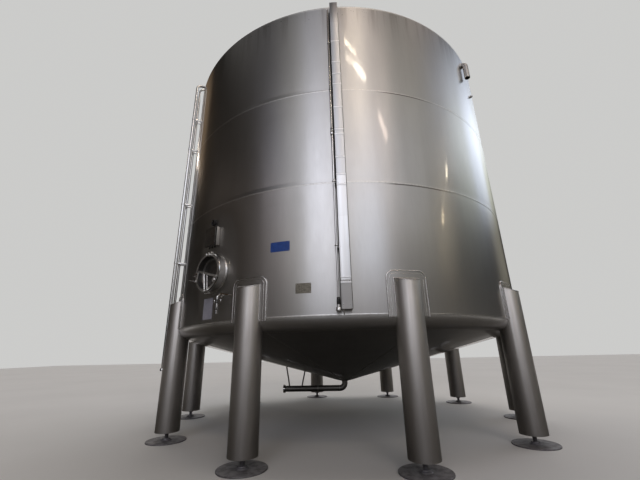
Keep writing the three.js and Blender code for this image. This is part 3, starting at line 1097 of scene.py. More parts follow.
@dataclass(frozen=True)
class Finishes:
    """Every material of the tank, built once."""

    shell: SheetFinish = ShellFinish("shell_sheet", Slot.BRUSHED, (0.67, 0.66, 0.645),
                                     (0.57, 0.56, 0.545), 0.31, 0.37, grain=120.0,
                                     ripple=0.0035, along=(1.0, 1.0, 0.06), lengthen=0.5,
                                     layers=2.0, skin=1.5, gloss=0.06)
    weld: WornMetal = WornMetal("weld_bead", Slot.BRUSHED, (0.74, 0.73, 0.71),
                                (0.62, 0.60, 0.57), 0.32, 0.40, patch=30.0)
    bead: WornMetal = WornMetal("bright_bead", Slot.BRUSHED, (0.88, 0.87, 0.86),
                                (0.60, 0.58, 0.55), 0.12, 0.24, patch=22.0, pit=0.0035,
                                fine=7.0)
    leg: SheetFinish = SheetFinish("leg_pipe", Slot.SATIN, (0.69, 0.665, 0.635),
                                   (0.52, 0.495, 0.47), 0.40, 0.52, grain=46.0, cloud=2.2,
                                   ripple=0.0006, lengthen=0.2)
    duct: SheetFinish = DuctFinish("duct_sheet", Slot.SATIN, (0.95, 0.955, 0.96),
                                   (0.86, 0.86, 0.86), 0.33, 0.41, grain=50.0, cloud=1.6)
    strap: SheetFinish = SheetFinish("duct_strap", Slot.SATIN, (0.98, 0.98, 0.985),
                                     (0.90, 0.90, 0.90), 0.40, 0.48, grain=50.0, cloud=3.0)
    # Painted shade: a darker copy of the pipe sheet, for the outlet and its hangers in the shade
    # under the tank, and for the sealant beside the duct.
    dull: SheetFinish = SheetFinish("shaded_dull_pipe", Slot.SATIN, (0.36, 0.35, 0.335),
                                    (0.25, 0.24, 0.23), 0.36, 0.50, grain=50.0, cloud=3.0)
    pipe: SheetFinish = SheetFinish("drawn_pipe", Slot.POLISHED, (0.80, 0.795, 0.78),
                                    (0.62, 0.61, 0.59), 0.14, 0.26, grain=80.0, cloud=3.0)
    fitting: WornMetal = WornMetal("polished_fitting", Slot.POLISHED, (0.82, 0.81, 0.80),
                                   (0.60, 0.59, 0.57), 0.10, 0.28, patch=16.0)
    lid: WornMetal = WornMetal("shaded_lid", Slot.DARK_STEEL, (0.30, 0.295, 0.29),
                               (0.14, 0.135, 0.13), 0.30, 0.50, patch=8.0)
    foot: WornMetal = WornMetal("foot_plate", Slot.DARK_STEEL, (0.26, 0.25, 0.262),
                                (0.15, 0.14, 0.145), 0.42, 0.60, patch=14.0, metal=0.35)
    cabinet: SheetFinish = SheetFinish("cabinet_sheet", Slot.SATIN, (0.74, 0.72, 0.69),
                                       (0.60, 0.58, 0.56), 0.34, 0.46, grain=70.0, cloud=4.0)
    seal: CoatedFace = CoatedFace("dark_seal", Slot.PAINT, (0.030, 0.030, 0.032),
                                  (0.014, 0.014, 0.015), 0.55, mottle=24.0)
    enamel: CoatedFace = CoatedFace("blue_tag_enamel", Slot.ENAMEL, (0.016, 0.095, 0.46),
                                    (0.012, 0.070, 0.36), 0.42, mottle=18.0, coat=0.15)
    etched: CoatedFace = CoatedFace("etched_plate", Slot.ETCHED, (0.30, 0.275, 0.225),
                                    (0.18, 0.165, 0.13), 0.42, mottle=60.0, metal=0.6)
    paper: CoatedFace = CoatedFace("label_sleeve", Slot.PAPER, (0.34, 0.335, 0.37),
                                   (0.28, 0.275, 0.31), 0.35, mottle=14.0, coat=0.4)
    paper_sheet: CoatedFace = CoatedFace("label_sheet", Slot.PAPER, (0.50, 0.49, 0.55),
                                         (0.42, 0.41, 0.47), 0.75, mottle=14.0, coat=0.25)
    # Painted shade: a darker copy of the cabinet sheet, for the box's door front, which lies in
    # shade.
    panel: WornMetal = WornMetal("shaded_box_door_sheet", Slot.SATIN, (0.34, 0.33, 0.32),
                                 (0.22, 0.215, 0.21), 0.26, 0.40, patch=6.0)
    glass: CoatedFace = CoatedFace("dark_glass", Slot.PAINT, (0.012, 0.012, 0.013),
                                   (0.008, 0.008, 0.008), 0.08, mottle=10.0, coat=0.6)
    cast: WornMetal = WornMetal("cast_knob", Slot.POLISHED, (0.90, 0.89, 0.87),
                                (0.70, 0.69, 0.67), 0.34, 0.48, patch=24.0)
    bronze: WornMetal = WornMetal("bronze_lever", Slot.POLISHED, (0.42, 0.30, 0.16),
                                  (0.20, 0.14, 0.08), 0.28, 0.45, patch=26.0)


class Dresser:
    """Gives finished pieces their material and body, and reports them."""

    def __init__(self, finishes: Finishes) -> None:
        """Builds every material.

        Args:
            finishes: the finishes of the tank.
        """
        self.materials: dict[str, bpy.types.Material] = {}
        self.slots: dict[str, Slot] = {}
        for name in finishes.__dataclass_fields__:
            finish = getattr(finishes, name)
            self.materials[name] = finish.material()
            self.slots[name] = finish.slot

    def coat(self, part: Piece, finish: str) -> Piece:
        """Gives a part its finish before it is joined to others.

        Args:
            part: the mesh object.
            finish: the finish's name.

        Returns:
            The same part.
        """
        part.data.materials.clear()
        part.data.materials.append(self.materials[finish])
        return part

    def coats(self, finish: str, *parts: Piece) -> list[Piece]:
        """Gives several parts the same finish."""
        return [self.coat(part, finish) for part in parts]

    def fit(self, name: str, parts: Sequence[Piece], azimuth: float, finish: str,
            *replaced: str, body: Body = Body.TANK) -> None:
        """Joins coated parts that were built at azimuth 0, turns them into place, dresses them.

        Args:
            name: the piece's name.
            parts: the parts.
            azimuth: where they go, in degrees.
            finish: the finish that the piece takes when none of its parts was coated.
            replaced: the nodes that it stands for.
            body: the body that it rides on.
        """
        self.dress(turned(joined(name, parts), azimuth), finish, body, replaced)

    def dress(self, piece: Piece, finish: str, body: Body = Body.TANK,
              replaced: Sequence[str] = (), angle: float = SMOOTH_LIMIT) -> None:
        """Finishes a piece: shading, material, body and the nodes that it stands for.

        Args:
            piece: the mesh object.
            finish: its finish, which parts that were coated before keep to themselves.
            body: the body that it rides on.
            replaced: the nodes that it stands for.
            angle: the limit of smooth shading in degrees.
        """
        if not piece.data.materials:
            self.coat(piece, finish)
        rounded(piece, angle)
        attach(piece, body.value)
        for node in replaced:
            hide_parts(node)
        log.info("%s: %d faces, %s", piece.name, len(piece.data.polygons), finish)


# The vessel


@dataclass
class ShellCourses:
    """The three courses of the shell, with a slight draw at each round weld."""

    plates: tuple[str, ...] = tuple(f"shell_lower_{k}" for k in range(1, 6))
    draw: float = 0.0006
    reach: float = 0.075
    bead: float = 0.011
    proud: float = 0.0014
    seams: tuple[float, ...] = (BOTTOM_WELD, LOWER_SEAM, UPPER_SEAM, ROOF_WELD)
    joints: tuple[tuple[float, float, float], ...] = (
        (-89.5, BOTTOM_WELD, LOWER_SEAM), (-17.5, BOTTOM_WELD, LOWER_SEAM),
        (54.5, BOTTOM_WELD, LOWER_SEAM), (126.5, BOTTOM_WELD, LOWER_SEAM),
        (198.5, BOTTOM_WELD, LOWER_SEAM), (-22.0, LOWER_SEAM, UPPER_SEAM),
        (98.0, LOWER_SEAM, UPPER_SEAM), (218.0, LOWER_SEAM, UPPER_SEAM),
        (-28.0, UPPER_SEAM, ROOF_WELD), (92.0, UPPER_SEAM, ROOF_WELD),
        (212.0, UPPER_SEAM, ROOF_WELD))

    def radius_at(self, height: float) -> float:
        """Gives the outer radius at a height, drawn in a little at the round welds."""
        pull = max(math.exp(-((height - seam) / self.reach) ** 2) for seam in self.seams)
        return RADIUS - self.draw * pull

    def course(self, name: str, low: float, high: float) -> Piece:
        """Makes one course as a ring of sheet.

        Args:
            name: the piece's name.
            low: the height of its lower weld.
            high: the height of its upper weld.

        Returns:
            The course.
        """
        near = (0.0, 0.012, 0.03, 0.055, 0.09, 0.14)
        middle = [low + 0.14 + (high - low - 0.28) * k / 8 for k in range(1, 8)]
        levels = [low + d for d in near] + middle + [high - d for d in reversed(near)]
        outer = [(self.radius_at(z), z) for z in levels]
        return spun(name, upright(outer + [(RADIUS - WALL, high), (RADIUS - WALL, low)]))

    def bead_ring(self, height: float) -> Piece:
        """Makes the flat bead of a round weld."""
        skin = self.radius_at(height)
        return spun("bead", upright([
            (skin - 0.002, height - self.bead), (skin + 0.0004, height - self.bead),
            (skin + self.proud * 0.8, height - self.bead * 0.5),
            (skin + self.proud, height), (skin + self.proud * 0.8, height + self.bead * 0.5),
            (skin + 0.0004, height + self.bead), (skin - 0.002, height + self.bead)]))

    def bead_line(self, azimuth: float, low: float, high: float) -> Piece:
        """Makes the bead of an upright joint between two plates of a course."""
        bead = block("bead", (RADIUS - 0.003, -0.008, low), (RADIUS + 0.0012, 0.008, high), 0.0011)
        return turned(bead, azimuth)

    def build(self, dresser: Dresser, manway: "Manway") -> None:
        """Builds the courses and their welds.

        Args:
            dresser: what finishes the pieces.
            manway: the manway, for its hole in the lower course.
        """
        lower = self.course("lower_course", BOTTOM_WELD, LOWER_SEAM)
        cut(lower, manway.hole())
        dresser.dress(lower, "shell", replaced=self.plates)
        middle = self.course("middle_course", LOWER_SEAM, UPPER_SEAM)
        dresser.dress(middle, "shell", replaced=("shell_middle",))
        upper = self.course("upper_course", UPPER_SEAM, ROOF_WELD)
        dresser.dress(upper, "shell", replaced=("shell_upper",))
        rings = [self.bead_ring(seam) for seam in self.seams]
        lines = [self.bead_line(*joint) for joint in self.joints]
        dresser.dress(joined("shell_welds", rings + lines), "weld", angle=WELD_LIMIT)


@dataclass
class Heads:
    """The bottom with its knuckle and cone, and the roof with its hatch."""

    drain: float = 0.0523
    hatch: float = 0.300
    flange: float = 0.335
    lid_top: float = 6.8286
    hatch_rim: float = 6.8036
    bolts: int = 16
    spokes: int = 10

    def bottom(self) -> Piece:
        """Makes the knuckle as sheet, from its weld to the cone."""
        outer = BOTTOM.arc(0.0, 12)
        inner = BOTTOM.arc(-WALL, 12)
        return spun("bottom_knuckle_sheet", upright(outer + inner[::-1]))

    def cone(self) -> Piece:
        """Makes the cone as sheet, down to the hole of the outlet."""
        edge = BOTTOM.arc(0.0)[-1][0] - 0.0006
        steps = [edge + (self.drain - edge) * k / 6 for k in range(7)]
        outer = [(r, BOTTOM.height(r)) for r in steps]
        inner = [(max(r - 0.0013, self.drain), BOTTOM.height(r, -WALL)) for r in reversed(steps)]
        return spun("bottom_cone_sheet", upright(outer + inner))

    def roof_sheet(self) -> Piece:
        """Makes the roof with its small knuckle as one sheet."""
        outer = ROOF.arc(0.0, 8)
        inner = ROOF.arc(-WALL, 8)
        hole = (self.hatch + 0.0003, ROOF.height(self.hatch))
        under = (self.hatch + 0.0003, ROOF.height(self.hatch, -WALL))
        return spun("roof_sheet", upright(outer + [hole, under] + inner[::-1]))

    def seam_lines(self) -> list[Piece]:
        """Makes the sloping welds of both cones and the ring where the bottom cone starts."""
        edge, level = BOTTOM.arc(0.0)[-1]
        start = ROOF.arc(0.0)[-1]
        line = tube("bead", [(edge, 0.0, level), (0.12, 0.0, BOTTOM.height(0.12))], 0.004)
        top = tube("bead", [(start[0], 0.0, start[1]), (0.30, 0.0, ROOF.height(0.30))], 0.004)
        ring = spun("bead", upright([(edge + 0.010, level + 0.004), (edge + 0.004, level - 0.001),
                                     (edge - 0.004, level - 0.003), (edge - 0.012, level - 0.002),
                                     (edge - 0.012, level + 0.006)]))
        return ringed(line, self.spokes) + ringed(top, self.spokes) + [ring]

    def hatch_body(self, dresser: Dresser) -> Piece:
        """Makes the hatch: its neck, flange, dished lid, bolts and weld."""
        wall, rim, top = 0.006, self.hatch_rim, self.lid_top
        low = ROOF.height(self.hatch) - 0.030
        neck = spun("hatch_neck", upright([
            (self.hatch, low), (self.hatch, rim - 0.012), (self.flange, rim - 0.012),
            (self.flange, rim - 0.002), (self.hatch - wall, rim - 0.002),
            (self.hatch - wall, low)]), steps=96)
        lid = spun("hatch_lid", upright([
            (0.0, top - 0.002), (0.14, top - 0.003), (0.22, top - 0.007), (0.265, top - 0.015),
            (self.flange, top - 0.016), (self.flange, rim - 0.001), (0.26, rim - 0.001),
            (0.20, rim + 0.004), (0.0, rim + 0.010)], close=False), steps=96)
        bolt = round_stock("bolt", (0.318, 0.0, rim - 0.024), (0.318, 0.0, top - 0.004), 0.008, 12,
                           0.001)
        nut = round_stock("nut", (0.318, 0.0, top - 0.016), (0.318, 0.0, top - 0.007), 0.013, 6,
                          0.001)
        bolts = ringed(joined("bolt", [bolt, nut]), self.bolts)
        weld = spun("bead", upright([
            (self.hatch - 0.001, ROOF.height(self.hatch) + 0.010),
            (self.hatch + 0.004, ROOF.height(self.hatch) + 0.007),
            (self.hatch + 0.010, ROOF.height(self.hatch) - 0.001),
            (self.hatch - 0.001, ROOF.height(self.hatch) - 0.002)]), steps=96)
        parts = [dresser.coat(neck, "leg"), dresser.coat(lid, "leg"), dresser.coat(weld, "weld")]
        return joined("roof_hatch_body", parts + dresser.coats("fitting", *bolts))

    def build(self, dresser: Dresser) -> None:
        """Builds the bottom, the roof and the hatch.

        Args:
            dresser: what finishes the pieces.
        """
        dresser.dress(self.bottom(), "shell", replaced=("bottom_knuckle",))
        dresser.dress(self.cone(), "shell", replaced=("bottom_cone",))
        dresser.dress(self.roof_sheet(), "shell", replaced=("roof",))
        dresser.dress(self.hatch_body(dresser), "leg", replaced=("roof_hatch",))
        dresser.dress(joined("cone_welds", self.seam_lines()), "weld", angle=WELD_LIMIT)


# The legs


@dataclass
class Legs:
    """Ten pipe legs with sloping capped tops, each on a welded pad and a screwed foot."""

    circle: float = 2.980
    radius: float = 0.162
    wall: float = 0.007
    bottom: float = 0.117
    top: float = 1.920
    slope: float = 20.0
    pad_width: float = 0.484
    pad_top: float = 1.998
    pad_low: float = 1.478
    pad_corner: float = 0.090
    pad_sheet: float = 0.008
    foot: float = 0.265
    plate: float = 0.014
    spindle: float = 0.025
    pitch: float = 0.006
    nut: float = 0.042
    above: float = 2.3
    stock: float = 2.2

    def envelope(self) -> Piece:
        """Makes a solid that fills the tank and its pads, for cutting the legs to them."""
        skin = RADIUS + self.pad_sheet
        arc = BOTTOM.arc(0.0, 12)
        return spun("envelope", upright(
            [(0.0, self.above), (skin, self.above), (skin, BOTTOM_WELD)] + arc[1:]
            + [(0.0, BOTTOM.height(0.0))], close=False))

    def leg(self, envelope: Piece) -> Piece:
        """Makes a leg: a pipe, closed at its sloping top and open below."""
        clear_selection()
        depth = self.stock - self.bottom
        bpy.ops.mesh.primitive_cylinder_add(
            vertices=96, radius=self.radius, depth=depth, end_fill_type="NGON",
            location=(self.circle, 0.0, self.bottom + depth / 2))
        leg = settle(named("leg_pipe_part"))
        slope = math.radians(self.slope)
        with editing(leg) as mesh:
            bpy.ops.mesh.select_all(action="SELECT")
            bpy.ops.mesh.bisect(plane_co=(self.circle, 0.0, self.top),
                                plane_no=(math.sin(slope), 0.0, math.cos(slope)),
                                use_fill=True, clear_outer=True)
            mesh = bmesh.from_edit_mesh(leg.data)
            pick_faces(mesh, lambda face: face.normal.z < -0.99)
            bpy.ops.mesh.inset(thickness=self.wall)
            bpy.ops.transform.translate(value=(0.0, 0.0, 0.020))
        bevelled(leg, 0.0025, 2)
        return cut(leg, envelope, keep=True)

    def seat_bead(self) -> list[Piece]:
        """Makes the weld beads round a leg's top and where it meets its pad."""
        skin = RADIUS + self.pad_sheet
        slope = math.tan(math.radians(self.slope))
        ring, sides = [], 64
        reach = math.acos((skin - self.circle) / self.radius)
        for k in range(sides + 1):
            turn = -reach + 2 * reach * k / sides
            x = self.circle + self.radius * math.cos(turn)
            ring.append((x, self.radius * math.sin(turn), self.top - slope * (x - self.circle)))
        across = ring[0][1]
        high = ring[0][2]
        seams = [tube("bead", ring, 0.0035)]
        chord = [(skin + 0.001, across * (1 - 2 * k / 6), high) for k in range(7)]
        seams.append(tube("bead", chord, 0.005))
        for side in (across, -across):
            seams.append(tube("bead", [(skin + 0.001, side, high),
                                       (skin + 0.001, side, BOTTOM_WELD - 0.01)], 0.0055))
        return seams

    def pad(self) -> Piece:
        """Makes the pad: sheet bent to the shell, with its upper corners rounded."""
        half = math.degrees(self.pad_width / 2 / RADIUS) + 1.0
        inner, outer = RADIUS - 0.004, RADIUS + self.pad_sheet
        profile = upright([(inner, self.pad_low), (outer, self.pad_low),
                           (outer, self.pad_top), (inner, self.pad_top)], close=False)
        sheet = turned(spun("pad_sheet", profile, steps=40, sweep=2 * half), -half)
        shape = block("shape", (2.8, -self.pad_width / 2, self.pad_low + 0.001),
                      (3.1, self.pad_width / 2, self.pad_top - 0.001), 0.0)
        with editing(shape) as mesh:
            pick_edges(mesh, lambda edge: all(v.co.z > 1.9 for v in edge.verts)
                       and abs(edge.verts[0].co.x - edge.verts[1].co.x) > 0.1)
            bpy.ops.mesh.bevel(offset=self.pad_corner, segments=8, affect="EDGES")
        return cut(sheet, shape, operation="INTERSECT")

    def contour(self, inset: float, out: float) -> list[Point]:
        """Gives a line that runs round the pad, from its lower left to its lower right.

        Args:
            inset: how far inside the pad's edge it runs.
            out: the distance from the tank axis.

        Returns:
            The line's points.
        """
        half = self.pad_width / 2 - inset
        corner = self.pad_corner - inset
        top = self.pad_top - inset
        flat = [(-half, self.pad_low), (-half, 1.60), (-half, 1.75)]
        for k in range(9):
            turn = math.pi - math.pi / 2 * k / 8
            flat.append((-half + corner + corner * math.cos(turn),
                         top - corner + corner * math.sin(turn)))
        flat += [(x, top) for x in (-0.1, -0.05, 0.0)]
        mirror = [(-x, z) for x, z in reversed(flat[:-1])]
        return [on_shell(x, z, out) for x, z in flat + mirror]

    def foot_plate(self) -> Piece:
        """Makes a foot: its round plate, boss and weld."""
        at = self.circle
        wide, high = self.foot, self.plate
        profile = [(0.0, 0.0), (wide, 0.0), (wide, high - 0.003), (wide - 0.003, high),
                   (0.072, high), (0.066, high + 0.008), (0.052, high + 0.014),
                   (0.050, high + 0.024), (0.0, high + 0.024)]
        plate = spun("foot_plate_part", upright(profile, close=False), steps=72)
        plate.location = (at, 0.0, 0.0)
        return settle(plate)

    def screw(self) -> Piece:
        """Makes a foot's screw with its thread and nut."""
        at, top = self.circle, self.bottom + 0.024
        core, pitch = self.spindle, self.pitch
        profile: list[Pair] = [(0.0, self.plate + 0.020)]
        level = self.plate + 0.020
        while level < top - pitch:
            profile += [(core, level + pitch * 0.25), (core - 0.003, level + pitch * 0.75)]
            level += pitch
        profile.append((0.0, top))
        screw = spun("screw", upright(profile, close=False), steps=32)
        screw.location = (at, 0.0, 0.0)
        nut_low = self.bottom - 0.0263
        nut = round_stock("nut", (at, 0.0, nut_low), (at, 0.0, self.bottom - 0.0005), self.nut, 6,
                          0.003)
        wide, under, over = self.radius - 0.0065, self.bottom + 0.004, self.bottom + 0.012
        cap = spun("cap", upright([(0.026, under), (wide, under), (wide, over), (0.026, over)]),
                   steps=64)
        cap.location = (at, 0.0, 0.0)
        return joined("screw", [settle(screw), nut, settle(cap)])

    def build(self, dresser: Dresser) -> None:
        """Builds one leg, pad and foot, and copies them to their ten places.

        Args:
            dresser: what finishes the pieces.
        """
        envelope = self.envelope()
        leg = dresser.coat(self.leg(envelope), "leg")
        bpy.data.objects.remove(envelope)
        leg = joined("leg_part", [leg, *dresser.coats("bead", *self.seat_bead())])
        skin = RADIUS + self.pad_sheet
        rims = [tube("bead", self.contour(0.002, skin - 0.003), 0.0085),
                tube("bead", self.contour(0.036, skin - 0.001), 0.0038)]
        pad = joined("pad_part", [dresser.coat(self.pad(), "shell"),
                                  *dresser.coats("bead", *rims)])
        foot = joined("foot_part", dresser.coats("foot", self.foot_plate(), self.screw()))
        for k in range(LEG_COUNT):
            azimuth = LEG_PHASE + 360.0 * k / LEG_COUNT
            dresser.dress(copied(leg, f"leg_{k + 1}_pipe", azimuth), "leg",
                          replaced=(f"leg_{k + 1}",))
            dresser.dress(copied(pad, f"leg_{k + 1}_pad", azimuth), "shell")
            dresser.dress(copied(foot, f"foot_{k + 1}_body", azimuth), "foot",
                          replaced=(f"foot_{k + 1}",))
        for part in (leg, pad, foot):
            bpy.data.objects.remove(part)


# The manway


@dataclass
class Manway:
    """The manway: polished neck with its lugs, dished door, and the bar that holds it."""

    azimuth: float = -123.67
    height: float = 2.138
    neck: float = 0.245
    wall: float = 0.006
    rim: float = 0.255
    face: float = 3.112
    inside: float = 2.965
    flange: float = 0.250
    dish: float = 0.220
    depth: float = 0.085
    clearance: float = 0.005
    hinge: tuple[float, float] = (3.085, -0.275)
    arms: tuple[tuple[Pair, Pair], ...] = (((-0.040, -0.005), (0.003, -0.245)),
                                           ((0.027, -0.024), (0.060, -0.240)))
    arm_radii: Pair = (0.0135, 0.007)
    clamp: tuple[Pair, Pair] = ((-0.018, 0.232), (0.042, 0.226))
    link: tuple[Pair, Pair] = ((-0.165, 0.034), (-0.198, -0.099))
    boss: Pair = (0.186, -0.126)
    bar_middle: Pair = (0.045, -0.030)
    bar_span: Pair = (-0.225, 0.212)
    tilt: float = -16.5

    def hole(self) -> Piece:
        """Makes the cutter of the hole in the shell."""
        cutter = round_stock("cutter", (2.8, 0.0, self.height), (3.2, 0.0, self.height),
                             self.neck + 0.0003, 96)
        return turned(cutter, self.azimuth)

    def ring(self, pairs: Sequence[Pair], name: str, close: bool = True, steps: int = 96) -> Piece:
        """Spins a profile about the manway's own axis."""
        return faced(name, pairs, self.height, steps, close=close)

    def spot(self, place: Pair, out: float) -> Point:
        """Gives a place on the face, across and up from its middle."""
        return (out, place[0], self.height + place[1])

    def knob(self, place: Pair, radius: float, seat: float, length: float) -> Piece:
        """Makes a round knob with a domed end that stands on the face."""
        crown = [(radius * math.cos(k * math.pi / 12), seat + length * 0.55
                  + length * 0.45 * math.sin(k * math.pi / 12)) for k in range(7)]
        pairs = [(0.0, seat), (radius * 0.7, seat), (radius * 0.72, seat + length * 0.2),
                 (radius, seat + length * 0.3)] + crown[:-1] + [(0.0, seat + length)]
        return faced("knob", pairs, self.height + place[1], 32, place[0], close=False)

    def build_neck(self, dresser: Dresser) -> None:
        """Builds the neck with its rolled rim, weld, gasket, hinge lugs and clamp lugs."""
        inner = self.neck - self.wall
        neck = self.ring([
            (self.neck, self.inside), (self.neck, self.face - 0.022),
            (self.neck + 0.003, self.face - 0.017), (self.rim - 0.003, self.face - 0.015),
            (self.rim, self.face - 0.012), (self.rim, self.face - 0.004),
            (self.rim - 0.003, self.face), (inner + 0.003, self.face),
            (inner, self.face - 0.003), (inner, self.inside)], "neck")
        weld = self.ring([(self.neck - 0.001, 2.986), (self.neck + 0.014, 2.993),
                          (self.neck + 0.010, 3.003), (self.neck - 0.001, 3.012)], "bead")
        seal = self.ring([(self.rim - 0.014, self.face - 0.001),
                          (self.rim - 0.004, self.face - 0.001),
                          (self.rim - 0.004, self.face + 0.0035),
                          (self.rim - 0.014, self.face + 0.0035)], "seal")
        parts = [dresser.coat(neck, "fitting"), dresser.coat(weld, "weld"),
                 dresser.coat(seal, "seal")]
        out, side = self.hinge
        for way in (1, -1):
            low, high = sorted((way * 0.033, way * 0.043))
            lug = block("lug", (out - 0.016, side - 0.016, self.height + low),
                        (out + 0.016, -self.neck + 0.003, self.height + high), 0.0)
            with editing(lug) as mesh:
                pick_edges(mesh, lambda edge: all(v.co.y < side for v in edge.verts)
                           and abs(edge.verts[0].co.z - edge.verts[1].co.z) > 0.005)
                bpy.ops.mesh.bevel(offset=0.013, segments=5, affect="EDGES")
            parts.append(dresser.coat(bevelled(lug, 0.001), "fitting"))
        parts.append(dresser.coat(round_stock(
            "pin", (out, side, self.height - 0.050), (out, side, self.height + 0.050), 0.008, 20,
            0.0015), "fitting"))
        for way in (1, -1):
            for across in (-0.030, 0.030):
                low, high = sorted((way * 0.243, way * 0.278))
                cheek = block("cheek", (self.face - 0.040, across - 0.009, self.height + low),
                              (self.face - 0.002, across + 0.009, self.height + high), 0.003)
                parts.append(dresser.coat(cheek, "fitting"))
            level = self.height + way * 0.260
            parts.append(dresser.coat(round_stock(
                "bolt", (self.face - 0.022, -0.044, level), (self.face - 0.022, 0.044, level),
                0.009, 16, 0.002), "fitting"))
        dresser.fit("manway_neck_body", parts, self.azimuth, "fitting", "manway_neck")

    def build_door(self, dresser: Dresser) -> None:
        """Builds the door: a flanged dish with a rounded corner and a crowned middle."""
        back = self.face + self.clearance
        front = back + 0.008
        floor = self.face - self.depth
        inner = self.dish - 0.006
        hollow = [(inner, front - 0.002), (inner, floor + 0.030), (inner - 0.004, floor + 0.018),
                  (inner - 0.014, floor + 0.009), (inner - 0.030, floor + 0.006)]
        behind = [(self.dish - 0.024, floor), (self.dish - 0.008, floor + 0.006),
                  (self.dish, floor + 0.022), (self.dish, back - 0.001)]
        lid = self.ring([(0.0, floor), *behind, (self.flange, back - 0.001),
                         (self.flange, front - 0.002),
                         (self.flange - 0.002, front), (inner + 0.002, front), *hollow,
                         (0.12, floor + 0.008), (0.0, floor + 0.012)], "lid", close=False)
        edge = self.ring([(inner + 0.006, front - 0.001), (self.flange - 0.001, front - 0.001),
                          (self.flange - 0.001, front + 0.0002), (inner + 0.006, front + 0.0002)],
                         "edge")
        faces = [dresser.coat(lid, "lid"), dresser.coat(edge, "cast")]
        dresser.fit("manway_door_dish", faces, self.azimuth, "lid", "manway_door", body=Body.DOOR)
        seat = front + 0.0003
        middle = seat + 0.011
        left, right = self.clamp
        parts = dresser.coats("cast", *(self.knob(place, 0.023, seat, 0.028)
                                        for place in self.clamp))
        parts.append(dresser.coat(round_stock("bolt", self.spot(left, middle),
                                              self.spot(right, middle), 0.009, 16), "cast"))
        dresser.fit("manway_clamp_body", parts, self.azimuth, "fitting", "manway_clamp",
                    body=Body.DOOR)

    def build_bar(self, dresser: Dresser) -> None:
        """Builds the bar with its hinge eye, strap, link, hand screw, arms and boss."""
        seat = self.face + self.clearance + 0.0083
        middle = seat + 0.009
        across, up = self.bar_middle
        near, far = self.bar_span
        bar = block("bar", (seat, near, -0.013), (seat + 0.020, far, 0.013), 0.0085)
        bar.rotation_euler = (math.radians(self.tilt), 0.0, 0.0)
        bar.location = (0.0, across, self.height + up)
        parts = [dresser.coat(settle(bar), "cast")]
        out, side = self.hinge
        eye = ((0.0085, -0.030), (0.015, -0.030), (0.016, -0.028), (0.016, 0.028),
               (0.015, 0.030), (0.0085, 0.030), (0.0085, -0.030))
        parts.append(stacked("eye", [(r, self.height + z) for r, z in eye], out, 40, side))
        parts.append(block("strap", (out + 0.012, side - 0.015, self.height - 0.018),
                           (seat + 0.014, side + 0.013, self.height + 0.018), 0.003))
        parts.append(block("strap", (seat, side - 0.015, self.height - 0.018),
                           (seat + 0.014, -0.182, self.height + 0.018), 0.003))
        top, low = self.link
        parts.append(dresser.coat(tube("link", [self.spot(top, middle), self.spot(low, middle)],
                                       0.009), "cast"))
        parts.append(dresser.coat(self.knob(low, 0.019, seat, 0.030), "cast"))
        parts.append(round_stock("screw", self.spot(low, seat + 0.025),
                                 self.spot(low, seat + 0.105), 0.007, 20, 0.0015))
        for (head, end), radius in zip(self.arms, self.arm_radii):
            parts.append(dresser.coat(tube("arm", [self.spot(head, middle),
                                                   self.spot(end, middle)], radius), "cast"))
            parts.append(dresser.coat(self.knob(end, 0.023, seat, 0.028), "cast"))
        parts.append(dresser.coat(self.knob(self.boss, 0.029, seat, 0.030), "cast"))
        neck = self.boss[0]
        parts.append(block("rib", (seat + 0.003, neck - 0.009, self.height + self.boss[1]),
                           (seat + 0.015, neck + 0.009, self.height + up - 0.040), 0.002))
        for part in parts:
            if not part.data.materials:
                dresser.coat(part, "fitting")
        dresser.fit("manway_bar_body", parts, self.azimuth, "fitting", "manway_crossbar",
                    body=Body.DOOR)

    def build(self, dresser: Dresser) -> None:
        """Builds the neck, the door and the bar.

        Args:
            dresser: what finishes the pieces.
        """
        self.build_neck(dresser)
        self.build_door(dresser)
        self.build_bar(dresser)


# Fittings that run up the shell


